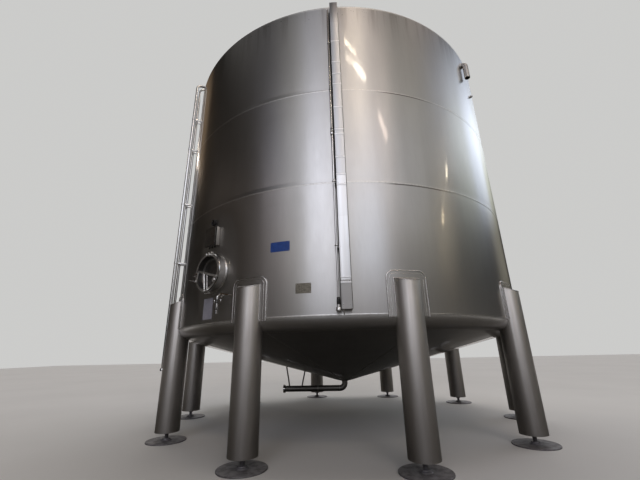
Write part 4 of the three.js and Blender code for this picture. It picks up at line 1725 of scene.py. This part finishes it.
@dataclass
class CableDuct:
    """The folded duct: open at its foot, in lengths with bright straps over their joints."""

    azimuth: float = -88.9
    half: float = 0.058
    out: float = 3.0875
    sheet: float = 0.003
    bottom: float = 1.560
    top: float = 6.165
    strap: float = 0.010
    lip: float = 0.0024
    straps: tuple[float, ...] = (1.848, 1.908, 3.057, 3.200, 3.447, 3.790, 3.862, 4.216, 4.604,
                                 4.782, 4.992, 5.380)
    breaks: tuple[float, ...] = (1.878, 2.260, 2.643, 3.826, 5.761)
    sealant: float = 0.006
    # painted shade: the heights of the dark strip along the duct's left side
    strip: tuple[float, float] = (3.190, 6.010)

    def strap_at(self, height: float) -> Piece:
        """Makes one strap: a flat bar over the front with its ends folded to the sides."""
        wide = self.half + self.lip
        strap = block("strap", (self.out - 0.030, -wide, height - self.strap),
                      (self.out + self.lip, wide, height + self.strap), 0.0)
        inner = block("space", (self.out - 0.050, -self.half, height - 0.1),
                      (self.out + 0.0002, self.half, height + 0.1), 0.0)
        return bevelled(cut(strap, inner), 0.0012, 3)

    def build(self, dresser: Dresser) -> None:
        """Builds the channel, its straps, their screws, the sealant along its sides and a strip of
        painted shade along its left side.

        Args:
            dresser: what finishes the pieces.
        """
        channel = block("channel", (RADIUS + 0.0005, -self.half, self.bottom),
                        (self.out, self.half, self.top), 0.003)
        space = block("space", (RADIUS - 0.05, -self.half + self.sheet, self.bottom - 0.1),
                      (self.out - self.sheet, self.half - self.sheet, self.top - self.sheet), 0.0)
        cut(channel, space)
        gaps = [block("gap", (self.out - 0.0014, -0.07, z - 0.0028),
                      (self.out + 0.01, 0.07, z + 0.0028), 0.0) for z in self.breaks]
        cut(channel, joined("gaps", gaps))
        first = self.strap_at(self.straps[0])
        straps = [first]
        for z in self.straps[1:]:
            strap = copied(first, "strap", 0.0)
            strap.location = (0.0, 0.0, z - self.straps[0])
            straps.append(settle(strap))
        parts = dresser.coats("duct", channel) + dresser.coats("strap", *straps)
        for z in (*self.straps[::2], self.bottom + 0.03, self.top - 0.03):
            for side in (-0.040, 0.040):
                parts.append(dresser.coat(round_stock(
                    "screw", (self.out - 0.001, side, z + 0.020),
                    (self.out + 0.0015, side, z + 0.020), 0.004, 10, 0.0006), "fitting"))
        for side in (-1, 1):
            line = [(RADIUS + 0.003, side * (self.half + self.sealant), z)
                    for z in (self.bottom + 0.01, 3.0, 4.5, self.top - 0.12)]
            parts.append(dresser.coat(tube("sealant", line, self.sealant, sides=8), "dull"))
        # Painted shade: a dark strip on the shell along the duct's left side stands in for the
        # shade between the level tube and the duct.
        gap = block("strip", (RADIUS + 0.002, -self.half - 0.016, self.strip[0]),
                    (RADIUS + 0.046, -self.half - 0.0005, self.strip[1]), 0.004)
        parts.append(dresser.coat(gap, "seal"))
        dresser.fit("cable_duct_body", parts, self.azimuth, "duct", "cable_duct")


@dataclass
class LevelTube:
    """The level tube: two lengths of pipe with clamps, a union and a drain cup."""

    azimuth: float = -90.6
    out: float = 3.060
    low_radius: float = 0.0112
    high_radius: float = 0.0145
    bottom: float = 1.640
    top: float = 6.060
    step: float = 3.121
    clamps: tuple[float, ...] = (2.285, 3.121, 4.540, 5.372)

    def collar(self, low: float, high: float, radius: float, sides: int = 28) -> Piece:
        """Makes a round collar on the tube."""
        return round_stock("collar", (self.out, 0.0, low), (self.out, 0.0, high), radius, sides,
                           0.002)

    def build(self, dresser: Dresser) -> None:
        """Builds the tube with its fittings.

        Args:
            dresser: what finishes the pieces.
        """
        out, wall = self.out, RADIUS - 0.003
        pipes = [tube("pipe", [(out, 0.0, self.bottom - 0.03), (out, 0.0, self.step)],
                      self.low_radius, sides=12),
                 tube("pipe", [(out, 0.0, self.step), (out, 0.0, self.top), (wall, 0.0, self.top)],
                      self.high_radius, 0.030, 12),
                 tube("pipe", [(wall, 0.0, self.bottom), (out, 0.0, self.bottom)], 0.015,
                      sides=12)]
        parts = [dresser.coat(pipe, finish)
                 for pipe, finish in zip(pipes, ("duct", "pipe", "pipe"))]
        collars = [self.collar(3.794, 3.802, 0.021), self.collar(3.802, 3.842, 0.022, 6),
                   self.collar(3.846, 3.886, 0.022, 8), self.collar(3.888, 3.902, 0.020),
                   self.collar(1.668, 1.676, 0.017),
                   self.collar(self.step - 0.014, self.step + 0.014, 0.018)]
        for z in self.clamps:
            collars.append(block("saddle", (wall, -0.006, z - 0.005),
                                 (out - 0.008, 0.006, z + 0.005)))
            collars.append(self.collar(z - 0.007, z + 0.007, self.high_radius + 0.003))
            collars.append(round_stock("screw", (out + 0.004, 0.016, z), (out + 0.004, 0.023, z),
                                       0.004, 10, 0.0008))
        dark = [self.collar(1.612, 1.674, 0.020), self.collar(3.842, 3.848, 0.0225),
                self.collar(3.886, 3.890, 0.0215), self.collar(3.790, 3.797, 0.0215),
                self.collar(1.676, 1.690, 0.0185)]
        for z in self.clamps:
            dark.append(block("grommet", (out - 0.030, 0.012, z - 0.052),
                              (out - 0.004, 0.030, z - 0.022), 0.004))
            dark.append(block("liner", (out - 0.012, -0.021, z - 0.0035),
                              (out + 0.004, 0.026, z + 0.0035), 0.001))
        cup = stacked("cup", [(0.0, 1.580), (0.020, 1.580), (0.020, 1.552), (0.022, 1.546),
                              (0.027, 1.543), (0.030, 1.547), (0.030, 1.578), (0.027, 1.583),
                              (0.019, 1.586), (0.018, 1.616), (0.0, 1.616)], out)
        core = stacked("core", [(0.0, 1.556), (0.0195, 1.556), (0.0195, 1.5795),
                                (0.0, 1.5795)], out, 24)
        parts += dresser.coats("fitting", *collars)
        parts += dresser.coats("cast", cup)
        parts += dresser.coats("seal", core, *dark)
        dresser.fit("level_tube_body", parts, self.azimuth, "pipe", "level_tube")


@dataclass
class Riser:
    """A riser pipe with its clamps and the union at its foot."""

    name: str
    azimuth: float
    out: float
    radius: float
    inner: float
    bottom: float = 0.900
    top: float = 6.400
    bend: float = 0.080
    clamps: tuple[float, ...] = (2.600, 3.700, 4.850, 5.550)

    def build(self, dresser: Dresser) -> None:
        """Builds the pipe, its clamps and its union.

        Args:
            dresser: what finishes the pieces.
        """
        out, radius = self.out, self.radius
        low = ROOF.height(self.inner) - 0.006
        parts = [tube("pipe", [(out, 0.0, self.bottom + 0.002), (out, 0.0, self.top),
                               (self.inner, 0.0, self.top), (self.inner, 0.0, low)], radius,
                      self.bend, 20)]
        for z in self.clamps:
            parts.append(block("post", (RADIUS - 0.002, -0.011, z - 0.014),
                               (out - radius + 0.002, 0.011, z + 0.014), 0.002))
            parts.append(stacked("band", [
                (radius - 0.001, z - 0.014), (radius + 0.0035, z - 0.014),
                (radius + 0.0035, z + 0.014), (radius - 0.001, z + 0.014),
                (radius - 0.001, z - 0.014)], out))
            for side in (-1, 1):
                low_side, high_side = sorted((side * (radius - 0.002), side * (radius + 0.014)))
                parts.append(block("ear", (out - 0.006, low_side, z - 0.012),
                                   (out + 0.004, high_side, z + 0.012), 0.002))
        foot = self.bottom
        parts.append(stacked("union", [
            (radius - 0.002, foot + 0.0005), (radius + 0.010, foot + 0.0005),
            (radius + 0.012, foot + 0.003), (radius + 0.012, foot + 0.034),
            (radius + 0.008, foot + 0.040), (radius - 0.002, foot + 0.040),
            (radius - 0.002, foot + 0.0005)], out))
        parts.append(stacked("bead", [
            (radius - 0.001, low + 0.016), (radius + 0.005, low + 0.012),
            (radius + 0.008, low + 0.006), (radius - 0.001, low), (radius - 0.001, low + 0.016)],
                             self.inner))
        dresser.fit(f"{self.name}_pipe", dresser.coats("pipe", *parts), self.azimuth, "pipe",
                    self.name)


@dataclass
class OverflowSpout:
    """The overflow spout: a bent tube with an open mouth, and a small boss below it."""

    azimuth: float = -39.0
    out: float = 3.066
    radius: float = 0.045
    mouth: float = 5.654
    top: float = 5.960
    boss_azimuth: float = -35.0
    boss_height: float = 5.414

    def build(self, dresser: Dresser) -> None:
        """Builds the spout and the boss.

        Args:
            dresser: what finishes the pieces.
        """
        out = self.out
        spout = tube("spout_tube", [(RADIUS - 0.003, 0.0, self.top), (out, 0.0, self.top),
                                    (out, 0.0, self.mouth)], self.radius, 0.062, 20)
        spout = cut(spout, round_stock("bore", (out, 0.0, self.mouth - 0.02),
                                       (out, 0.0, self.top - 0.070), self.radius - 0.003, 40))
        collar = faced("collar", [
            (self.radius - 0.001, RADIUS - 0.002), (self.radius + 0.014, RADIUS - 0.001),
            (self.radius + 0.009, RADIUS + 0.006), (self.radius - 0.001, RADIUS + 0.010)],
                       self.top, 40)
        parts = [dresser.coat(spout, "leg"), dresser.coat(collar, "weld")]
        dresser.fit("overflow_spout_body", parts, self.azimuth, "leg", "overflow_spout")
        boss = round_stock("boss", (RADIUS - 0.004, 0.0, self.boss_height),
                           (RADIUS + 0.034, 0.0, self.boss_height), 0.024, 32, 0.003)
        plug = round_stock("plug", (RADIUS + 0.033, 0.0, self.boss_height),
                           (RADIUS + 0.048, 0.0, self.boss_height), 0.016, 6, 0.002)
        dresser.fit("shell_boss", [boss, plug], self.boss_azimuth, "fitting")


# Fittings at the left


@dataclass
class InstrumentBox:
    """The instrument box: body, door with a seal, hinges, lock and glands below."""

    azimuth: float = -125.0
    half: float = 0.1175
    bottom: float = 2.525
    top: float = 2.792
    out: float = 3.075

    def build(self, dresser: Dresser) -> None:
        """Builds the box.

        Args:
            dresser: what finishes the pieces.
        """
        door = self.out - 0.022
        body = block("body", (RADIUS - 0.001, -self.half + 0.002, self.bottom + 0.002),
                     (door - 0.003, self.half - 0.002, self.top - 0.002), 0.003)
        seal = block("seal", (door - 0.004, -self.half + 0.008, self.bottom + 0.008),
                     (door + 0.001, self.half - 0.008, self.top - 0.008), 0.001)
        edge = block("edge", (door, -self.half, self.bottom),
                     (self.out - 0.003, self.half, self.top), 0.003)
        lid = block("lid", (self.out - 0.005, -self.half + 0.001, self.bottom + 0.001),
                    (self.out, self.half - 0.001, self.top - 0.001), 0.0015)
        with editing(lid) as mesh:
            pick_faces(mesh, lambda face: face.normal.x > 0.99)
            bpy.ops.mesh.inset(thickness=0.012)
            bpy.ops.transform.translate(value=(-0.0015, 0.0, 0.0))
        # Painted shade: the door front takes the darker panel finish and the body the lighter
        # cabinet sheet.
        parts = [dresser.coat(body, "cabinet"), dresser.coat(seal, "seal"),
                 dresser.coat(edge, "seal"), dresser.coat(lid, "panel")]
        for z in (self.bottom + 0.045, self.top - 0.045):
            parts.append(dresser.coat(round_stock(
                "hinge", (door - 0.002, -self.half - 0.003, z - 0.018),
                (door - 0.002, -self.half - 0.003, z + 0.018), 0.005, 16, 0.001), "fitting"))
            parts.append(dresser.coat(round_stock(
                "lock", (self.out - 0.002, self.half - 0.024, z),
                (self.out - 0.0002, self.half - 0.024, z), 0.009, 20, 0.0005), "fitting"))
        for across in (-0.06, 0.0, 0.06):
            parts.append(dresser.coat(round_stock(
                "gland", (RADIUS + 0.026, across, self.bottom - 0.022),
                (RADIUS + 0.026, across, self.bottom + 0.004), 0.011, 6, 0.002), "seal"))
        dresser.fit("instrument_box_body", parts, self.azimuth, "cabinet", "instrument_box")


@dataclass
class SightPort:
    """The small round port: a collar with its bolts, and a dark glass set back in it."""

    azimuth: float = -125.3
    height: float = 2.880
    radius: float = 0.045
    out: float = 3.040
    bolts: int = 6
    bolt_circle: float = 0.039

    def build(self, dresser: Dresser) -> None:
        """Builds the port.

        Args:
            dresser: what finishes the pieces.
        """
        wide, out = self.radius, self.out
        ring = faced("ring", [
            (wide, RADIUS - 0.003), (wide, out - 0.010), (wide - 0.001, out - 0.003),
            (wide - 0.004, out), (0.034, out), (0.032, out - 0.003), (0.031, out - 0.012),
            (0.031, RADIUS - 0.003)], self.height, 48)
        glass = faced("glass", [
            (0.0, out - 0.024), (0.0312, out - 0.024), (0.0312, out - 0.013), (0.024, out - 0.011),
            (0.012, out - 0.0095), (0.0, out - 0.009)], self.height, 48, close=False)
        parts = [dresser.coat(ring, "seal"), dresser.coat(glass, "glass")]
        for k in range(self.bolts):
            turn = 2 * math.pi * k / self.bolts
            across, up = self.bolt_circle * math.cos(turn), self.bolt_circle * math.sin(turn)
            parts.append(dresser.coat(round_stock(
                "bolt", (out - 0.003, across, self.height + up),
                (out + 0.0002, across, self.height + up), 0.0035, 6, 0.0006), "fitting"))
        dresser.fit("sight_port_body", parts, self.azimuth, "seal", "sight_port")


@dataclass
class SampleValve:
    """The sample valve: an elbow from the shell, a body with a cross handle, and a lever."""

    azimuth: float = -119.9
    top: float = 1.833
    out: float = 3.080
    bottom: float = 1.595
    radius: float = 0.014
    handle: float = 1.748

    def build(self, dresser: Dresser) -> None:
        """Builds the valve.

        Args:
            dresser: what finishes the pieces.
        """
        out, top = self.out, self.top
        pipe = tube("pipe", [(RADIUS - 0.003, 0.0, top), (out, 0.0, top),
                             (out, 0.0, self.bottom)], self.radius, 0.040, 14)
        flange = faced("flange", [
            (0.013, RADIUS - 0.002), (0.030, RADIUS - 0.001), (0.030, RADIUS + 0.006),
            (0.022, RADIUS + 0.010), (0.013, RADIUS + 0.012)], top, 32)
        body = stacked("body", [(0.012, 1.722), (0.022, 1.722), (0.024, 1.726), (0.024, 1.736),
                                (0.020, 1.740), (0.020, 1.756), (0.024, 1.760), (0.024, 1.766),
                                (0.021, 1.770), (0.012, 1.770), (0.012, 1.722)], out)
        nut = stacked("nut", [(0.012, 1.640), (0.021, 1.640), (0.022, 1.643), (0.022, 1.672),
                              (0.020, 1.676), (0.012, 1.676), (0.012, 1.640)], out, 8)
        handle = round_stock("handle", (out, -0.050, self.handle), (out, 0.068, self.handle),
                             0.007, 16, 0.002)
        knobs = [round_stock("knob", (out, y, self.handle - 0.018), (out, y, self.handle + 0.018),
                             0.007, 16, 0.002) for y in (-0.048, 0.066)]
        end = (3.045, 0.205, top - 0.022)
        lever = tube("lever", [(3.045, 0.0, top + 0.006), (3.045, 0.06, top + 0.004), end], 0.0075,
                     0.05, 10)
        grip = round_stock("grip", (3.045, 0.158, top - 0.0125), end, 0.0095, 16, 0.002)
        parts = dresser.coats("pipe", pipe, flange) + dresser.coats("lid", body, nut)
        parts += dresser.coats("fitting", handle, grip, *knobs)
        parts += dresser.coats("bronze", lever)
        dresser.fit("sample_valve_body", parts, self.azimuth, "pipe", "sample_valve")


@dataclass
class Plate:
    """A thin plate bent to the shell, with its corners rounded and a rivet in each."""

    name: str
    finish: str
    azimuth: float
    width: float
    bottom: float
    top: float
    thickness: float
    corner: float
    rivet: float = 0.0
    field: str = ""
    margin: float = 0.012
    inset: float = 0.012

    def sheet(self, low: float, high: float, half: float, bottom: float, top: float,
              corner: float) -> Piece:
        """Makes a sheet bent to the shell between two distances from its face."""
        reach = math.degrees((half + 0.02) / RADIUS)
        profile = upright([(RADIUS + low, bottom - 0.02), (RADIUS + high, bottom - 0.02),
                           (RADIUS + high, top + 0.02), (RADIUS + low, top + 0.02)], close=False)
        bent = turned(spun("bent", profile, steps=16, sweep=2 * reach), -reach)
        shape = block("shape", (2.9, -half, bottom), (3.1, half, top), 0.0)
        with editing(shape) as mesh:
            pick_edges(mesh, lambda edge: abs(edge.verts[0].co.x - edge.verts[1].co.x) > 0.1)
            bpy.ops.mesh.bevel(offset=corner, segments=6, affect="EDGES")
        return cut(bent, shape, operation="INTERSECT")

    def build(self, dresser: Dresser) -> None:
        """Builds the plate.

        Args:
            dresser: what finishes the pieces.
        """
        half = self.width / 2
        plate = self.sheet(0.0003, 0.0003 + self.thickness, half, self.bottom, self.top,
                           self.corner)
        parts = [dresser.coat(plate, self.finish)]
        if self.field:
            rim = self.margin
            panel = self.sheet(self.thickness - 0.0003, self.thickness + 0.0006, half - rim,
                               self.bottom + rim, self.top - rim, self.corner / 2)
            parts.append(dresser.coat(panel, self.field))
        if self.rivet:
            for across in (self.inset - half, half - self.inset):
                for z in (self.bottom + self.inset, self.top - self.inset):
                    foot = on_shell(across, z, RADIUS + self.thickness)
                    tip = on_shell(across, z, RADIUS + self.thickness + 0.0025)
                    parts.append(dresser.coat(round_stock("rivet", foot, tip, self.rivet, 16,
                                                          0.001), "fitting"))
        dresser.fit(f"{self.name}_face", parts, self.azimuth, self.finish, self.name)


# The outlet


@dataclass
class OutletPipe:
    """The outlet pipe with its elbow, welds and union, carried by two bent hangers."""

    radius: float = 0.052
    height: float = 0.485
    end: float = -1.150
    bend: float = 0.090
    union: float = 0.070
    union_length: float = 0.040
    lugs: int = 4
    welds: Pair = (-0.095, -0.500)
    hangers: tuple[tuple[float, float, float], ...] = ((-1.030, -1.062, -1.100),
                                                       (-0.810, -0.778, -0.745))

    def build(self, dresser: Dresser) -> None:
        """Builds the pipe and its hangers.

        Args:
            dresser: what finishes the pieces.
        """
        sunk = BOTTOM.height(self.radius) + 0.012
        run = tube("run", [(0.0, 0.0, sunk), (0.0, 0.0, self.height),
                           (self.end + 0.002, 0.0, self.height)], self.radius, self.bend, 24)
        # Painted shade: the run and its hangers take the darker pipe finish for the shade under
        # the tank.
        parts = [dresser.coat(run, "dull")]
        for x in self.welds:
            bead = faced("bead", [
                (self.radius - 0.001, x - 0.005), (self.radius + 0.002, x - 0.003),
                (self.radius + 0.002, x + 0.003), (self.radius - 0.001, x + 0.005)],
                         self.height, 40)
            parts.append(dresser.coat(bead, "weld"))
        wide, end, length = self.union, self.end, self.union_length
        nut = ((0.045, 0.0005), (wide - 0.003, 0.0005), (wide, 0.003), (wide, length - 0.006),
               (wide - 0.004, length - 0.002), (self.radius - 0.001, length),
               (0.045, length - 0.012))
        parts.append(dresser.coat(faced("nut", [(r, end + dx) for r, dx in nut], self.height,
                                        48), "fitting"))
        for k in range(self.lugs):
            turn = math.pi / 4 + 2 * math.pi * k / self.lugs
            lug = block("lug", (end + 0.006, -0.007, wide - 0.004), (end + 0.030, 0.007, wide))
            lug.rotation_euler = (turn, 0.0, 0.0)
            lug.location = (0.0, 0.0, self.height)
            parts.append(dresser.coat(settle(lug), "fitting"))
        for foot, waist, head in self.hangers:
            under = BOTTOM.height(-head) + 0.004
            middle = (self.height + under) / 2
            parts.append(dresser.coat(tube(
                "hanger", [(foot, 0.0, self.height), (waist, 0.0, middle), (head, 0.0, under)],
                0.013, 0.300, 10), "dull"))
            shoe = block("shoe", (head - 0.030, -0.022, under - 0.008),
                         (head + 0.030, 0.022, under + 0.004), 0.003)
            parts.append(dresser.coat(shoe, "dull"))
        dresser.dress(joined("outlet_pipe_run", parts), "leg", replaced=("outlet_pipe",))


# The studio


@dataclass(frozen=True)
class Panel:
    """A soft light in the surroundings, given by where it lies and how it fades.

    Args:
        azimuth: the direction of its middle in degrees.
        inner: half its full width in degrees.
        outer: half its width with the fading in degrees.
        low: the elevation where it starts and is full.
        high: the elevation where it is no longer full and ends.
        light: its colour and strength.
    """

    azimuth: float
    inner: float
    outer: float
    low: Pair
    high: Pair
    light: Colour

    def share(self, bench: NodeTree, axes: Sequence[Socket], flat: Socket) -> Socket:
        """Works out how much of the panel lies in a direction.

        Args:
            bench: the nodes of the surroundings.
            axes: the direction along X, Y and Z.
            flat: its length along the floor.

        Returns:
            The share, from 0 to 1.
        """
        east, north, rise = axes
        middle = math.radians(self.azimuth)
        along = bench.sum("DIVIDE", bench.sum(
            "ADD", bench.product(east, math.cos(middle)),
            bench.product(north, math.sin(middle))), flat)
        share = bench.fade(along, math.cos(math.radians(self.outer)),
                           math.cos(math.radians(self.inner)))
        start, full, last, end = (math.sin(math.radians(angle))
                                  for angle in (*self.low, *self.high))
        share = bench.product(share, bench.fade(rise, start, full))
        return bench.product(share, bench.fade(rise, end, last))


@dataclass(frozen=True)
class Lamp:
    """A long lamp in the surroundings, seen as a soft streak between two directions.

    Args:
        start: the azimuth and elevation of one end in degrees.
        end: those of its other end.
        width: half its width in degrees.
        light: its colour and strength.
        edge: where its soft edge starts and ends, as shares of that width.
        ahead: the range in which it is taken to lie ahead of the ray.
    """

    start: Pair
    end: Pair
    width: float
    light: Colour
    edge: Pair = (0.5, 1.5)
    ahead: Pair = (0.1, 0.2)

    def heading(self, *ends: Pair) -> Vector:
        """Gives the mean direction of some ends."""
        total = Vector()
        for azimuth, rise in ends:
            turn, lift = math.radians(azimuth), math.radians(rise)
            total += Vector((math.cos(turn) * math.cos(lift), math.sin(turn) * math.cos(lift),
                             math.sin(lift)))
        return total.normalized()

    def share(self, bench: NodeTree) -> Socket:
        """Works out how much of the lamp lies in a direction.

        Args:
            bench: the nodes of the surroundings.

        Returns:
            The share, from 0 to 1.
        """
        first, second = self.heading(self.start), self.heading(self.end)
        half, soft = first.angle(second) / 2, math.radians(self.width)
        near, far = (math.sin(soft * part) for part in self.edge)
        aside = bench.sum("ABSOLUTE", bench.toward(first.cross(second).normalized()))
        onward = bench.sum("ABSOLUTE", bench.toward((second - first).normalized()))
        share = bench.product(bench.fade(aside, far, near),
                              bench.fade(onward, math.sin(half + soft), math.sin(half)))
        middle = bench.toward(self.heading(self.start, self.end))
        return bench.product(share, bench.fade(middle, *self.ahead))


@dataclass
class Studio:
    """A plain pale floor, soft light all round and the camera."""

    floor_half: float = 40.0
    eye: Point = (0.0, -6.6598, 1.1326)
    pitch: float = 0.3279
    yaw: float = -0.0608
    roll: float = -0.0217
    lens: float = 18.443
    sensor: float = 36.0
    backdrop: Colour = (0.60, 0.60, 0.59)
    ambient: Colour = (0.006, 0.005, 0.004)
    # Painted shadow: the floor colour that bounced light sees near the tank, fading to far_bounce
    # between the radii of shaded.
    painted_shadow_bounce: Colour = (0.072, 0.065, 0.055)
    far_bounce: Colour = (0.80, 0.78, 0.75)
    shaded: Pair = (11.0, 19.0)
    shade_front: float = 8.0
    least: float = 1e-6
    reach: float = 200.0
    panels: tuple[Panel, ...] = (
        Panel(-70.0, 30.0, 70.0, (8.0, 24.0), (36.0, 60.0), (0.43, 0.401, 0.319)),
        Panel(30.0, 16.0, 40.0, (16.0, 26.0), (32.0, 42.0), (0.54, 0.568, 0.486)),
        Panel(-90.0, 16.0, 40.0, (2.0, 12.0), (24.0, 40.0), (0.286, 0.268, 0.242)),
        Panel(40.0, 30.0, 70.0, (24.0, 32.0), (40.0, 50.0), (0.512, 0.552, 0.648)),
        Panel(-70.0, 8.0, 26.0, (20.0, 36.0), (60.0, 80.0), (0.272, 0.214, 0.198)),
        Panel(92.0, 12.0, 38.0, (2.0, 12.0), (40.0, 62.0), (0.62, 0.61, 0.60)),
        Panel(90.0, 50.0, 120.0, (48.0, 70.0), (89.0, 90.0), (1.6, 1.58, 1.55)),
        Panel(-100.0, 5.0, 15.0, (1.0, 9.0), (26.0, 38.0), (0.54, 0.57, 0.66)),
        Panel(-130.0, 4.0, 14.0, (8.0, 18.0), (24.0, 34.0), (0.303, 0.268, 0.262)),
        Panel(40.0, 4.0, 14.0, (2.0, 12.0), (24.0, 40.0), (0.193, 0.181, 0.144)),
        Panel(-100.0, 4.0, 14.0, (8.0, 24.0), (36.0, 60.0), (0.511, 0.536, 0.683)),
        Panel(-160.0, 16.0, 40.0, (8.0, 18.0), (24.0, 34.0), (0.062, 0.051, 0.044)),
        Panel(140.0, 4.0, 14.0, (24.0, 32.0), (40.0, 50.0), (0.201, 0.138, 0.083)),
        Panel(-70.0, 4.0, 14.0, (-6.0, 8.0), (60.0, 80.0), (0.103, 0.075, 0.071)),
        Panel(10.0, 16.0, 40.0, (46.0, 60.0), (89.0, 90.0), (0.408, 0.283, 0.254)),
        Panel(30.0, 4.0, 14.0, (16.0, 26.0), (32.0, 42.0), (0.48, 0.562, 0.83)),
        Panel(-70.0, 4.0, 14.0, (8.0, 18.0), (24.0, 34.0), (0.478, 0.64, 0.897)),
        Panel(-80.0, 30.0, 70.0, (16.0, 26.0), (32.0, 42.0), (0.246, 0.285, 0.414)))
    lamps: tuple[Lamp, ...] = (
        Lamp((-79.0, 49.9), (-71.0, 47.8), 0.20, (34.0, 28.0, 21.0)),
        Lamp((-78.5, 47.6), (-71.0, 46.1), 0.26, (19.0, 16.5, 13.0)),
        Lamp((-71.4, 46.2), (-65.2, 44.4), 0.58, (21.0, 18.5, 15.0)),
        Lamp((-57.0, 38.6), (-53.0, 35.2), 0.85, (9.0, 7.2, 6.0)),
        Lamp((-8.2, 28.8), (-10.2, 27.0), 0.50, (14.0, 12.0, 9.0)),
        Lamp((-17.9, 21.6), (-18.9, 20.0), 0.40, (20.0, 16.0, 10.0)),
        Lamp((127.0, 33.0), (138.0, 29.3), 1.0, (10.0, 8.4, 6.8)))

    def stage(self) -> None:
        """Lays the floor with a pale, faintly mottled finish for the camera; light that bounces
        off it sees a painted shadow, dark near the tank and pale far from it.
        """
        clear_selection()
        bpy.ops.mesh.primitive_plane_add(size=2 * self.floor_half)
        floor = named("studio_floor")
        bench = NodeBench("studio_floor")
        cloud = bench.noise(bench.stretched(), 0.35, 3.0)
        pale = bench.blend(bench.ranged(cloud, NOISE_CORE), (0.80, 0.79, 0.77), (0.76, 0.75, 0.73))
        east, side, _ = bench.axes()
        north = bench.sum("ADD", side, self.shade_front)
        away = bench.squares(east, north)
        near, far = (reach * reach for reach in self.shaded)
        # Painted shadow: bounced light sees the floor dark near the tank and pale far from it; the
        # camera sees it pale all over.
        bounce_with_painted_shadow = bench.blend(bench.ranged(away, (near, far), smooth=True),
                               self.painted_shadow_bounce, self.far_bounce)
        seen = bench.nodes.new("ShaderNodeLightPath").outputs["Is Camera Ray"]
        bench.feed("Base Color", bench.blend(seen, bounce_with_painted_shadow, pale))
        bench.set(Roughness=0.85)
        floor.data.materials.append(bench.material)

    def camera(self) -> None:
        """Places the camera at the viewing angle."""
        sin_p, cos_p = math.sin(self.pitch), math.cos(self.pitch)
        sin_y, cos_y = math.sin(self.yaw), math.cos(self.yaw)
        ahead = Vector((sin_y * cos_p, cos_y * cos_p, sin_p))
        right = Vector((cos_y, -sin_y, 0.0))
        above = right.cross(ahead)
        sin_r, cos_r = math.sin(self.roll), math.cos(self.roll)
        across = right * cos_r + above * sin_r
        upwards = above * cos_r - right * sin_r
        data = bpy.data.cameras.new("camera")
        data.sensor_width = self.sensor
        data.lens = self.lens
        data.clip_end = self.reach
        camera = bpy.data.objects.new("camera", data)
        turn = Matrix((across, upwards, -ahead)).transposed().to_4x4()
        camera.matrix_world = Matrix.Translation(self.eye) @ turn
        bpy.context.scene.collection.objects.link(camera)
        bpy.context.scene.camera = camera

    def light(self) -> None:
        """Sets the surroundings: a faint even light with the soft panels added to it."""
        world = bpy.data.worlds.new("surroundings")
        bpy.context.scene.world = world
        world.use_nodes = True
        world.node_tree.nodes.clear()
        bench = NodeTree(world.node_tree, "Generated")
        nodes, links = bench.nodes, bench.links
        axes = bench.axes()
        east, north, _ = axes
        flat = bench.sum("SQRT", bench.sum("ADD", bench.product(east, east), bench.sum(
            "ADD", bench.product(north, north), self.least)))
        even = nodes.new("ShaderNodeCombineColor")
        for channel, level in zip(("Red", "Green", "Blue"), self.ambient):
            even.inputs[channel].default_value = level
        total = even.outputs["Color"]
        shares = [panel.share(bench, axes, flat) for panel in self.panels]
        shares += [lamp.share(bench) for lamp in self.lamps]
        for share, source in zip(shares, (*self.panels, *self.lamps)):
            total = bench.blend(share, total, source.light, "ADD")
        bright, plain = (nodes.new("ShaderNodeBackground") for _ in range(2))
        links.new(total, bright.inputs["Color"])
        plain.inputs["Color"].default_value = (*self.backdrop, 1.0)
        choice = nodes.new("ShaderNodeMixShader")
        seen = nodes.new("ShaderNodeLightPath").outputs["Is Camera Ray"]
        sources = (seen, bright.outputs["Background"], plain.outputs["Background"])
        for source, socket in zip(sources, choice.inputs):
            links.new(source, socket)
        output = nodes.new("ShaderNodeOutputWorld")
        links.new(choice.outputs["Shader"], output.inputs["Surface"])

    def build(self) -> None:
        """Sets up the floor, the light, the camera and the tone of the picture."""
        self.stage()
        self.light()
        self.camera()
        view = bpy.context.scene.view_settings
        view.view_transform = "Standard"
        view.look = "None"


def main() -> None:
    """Builds the tank piece by piece, then the studio."""
    logging.basicConfig(level=logging.INFO, format="%(message)s")
    dresser = Dresser(Finishes())
    manway = Manway()
    ShellCourses().build(dresser, manway)
    Heads().build(dresser)
    Legs().build(dresser)
    manway.build(dresser)
    CableDuct().build(dresser)
    LevelTube().build(dresser)
    Riser("riser_large", -152.6, 3.128, 0.0265, 2.760).build(dresser)
    Riser("riser_small", -154.3, 3.073, 0.0205, 2.800).build(dresser)
    OverflowSpout().build(dresser)
    InstrumentBox().build(dresser)
    SightPort().build(dresser)
    SampleValve().build(dresser)
    Plate("id_tag", "enamel", -103.8, 0.252, 2.283, 2.407, 0.002, 0.008,
          rivet=0.004).build(dresser)
    Plate("name_plate", "etched", -98.2, 0.185, 1.761, 1.878, 0.002, 0.006,
          rivet=0.004).build(dresser)
    Plate("paper_label", "paper", -125.4, 0.210, 1.550, 1.825, 0.001, 0.003,
          field="paper_sheet", margin=0.006).build(dresser)
    OutletPipe().build(dresser)
    Studio().build()


if __name__ == "__main__":
    main()
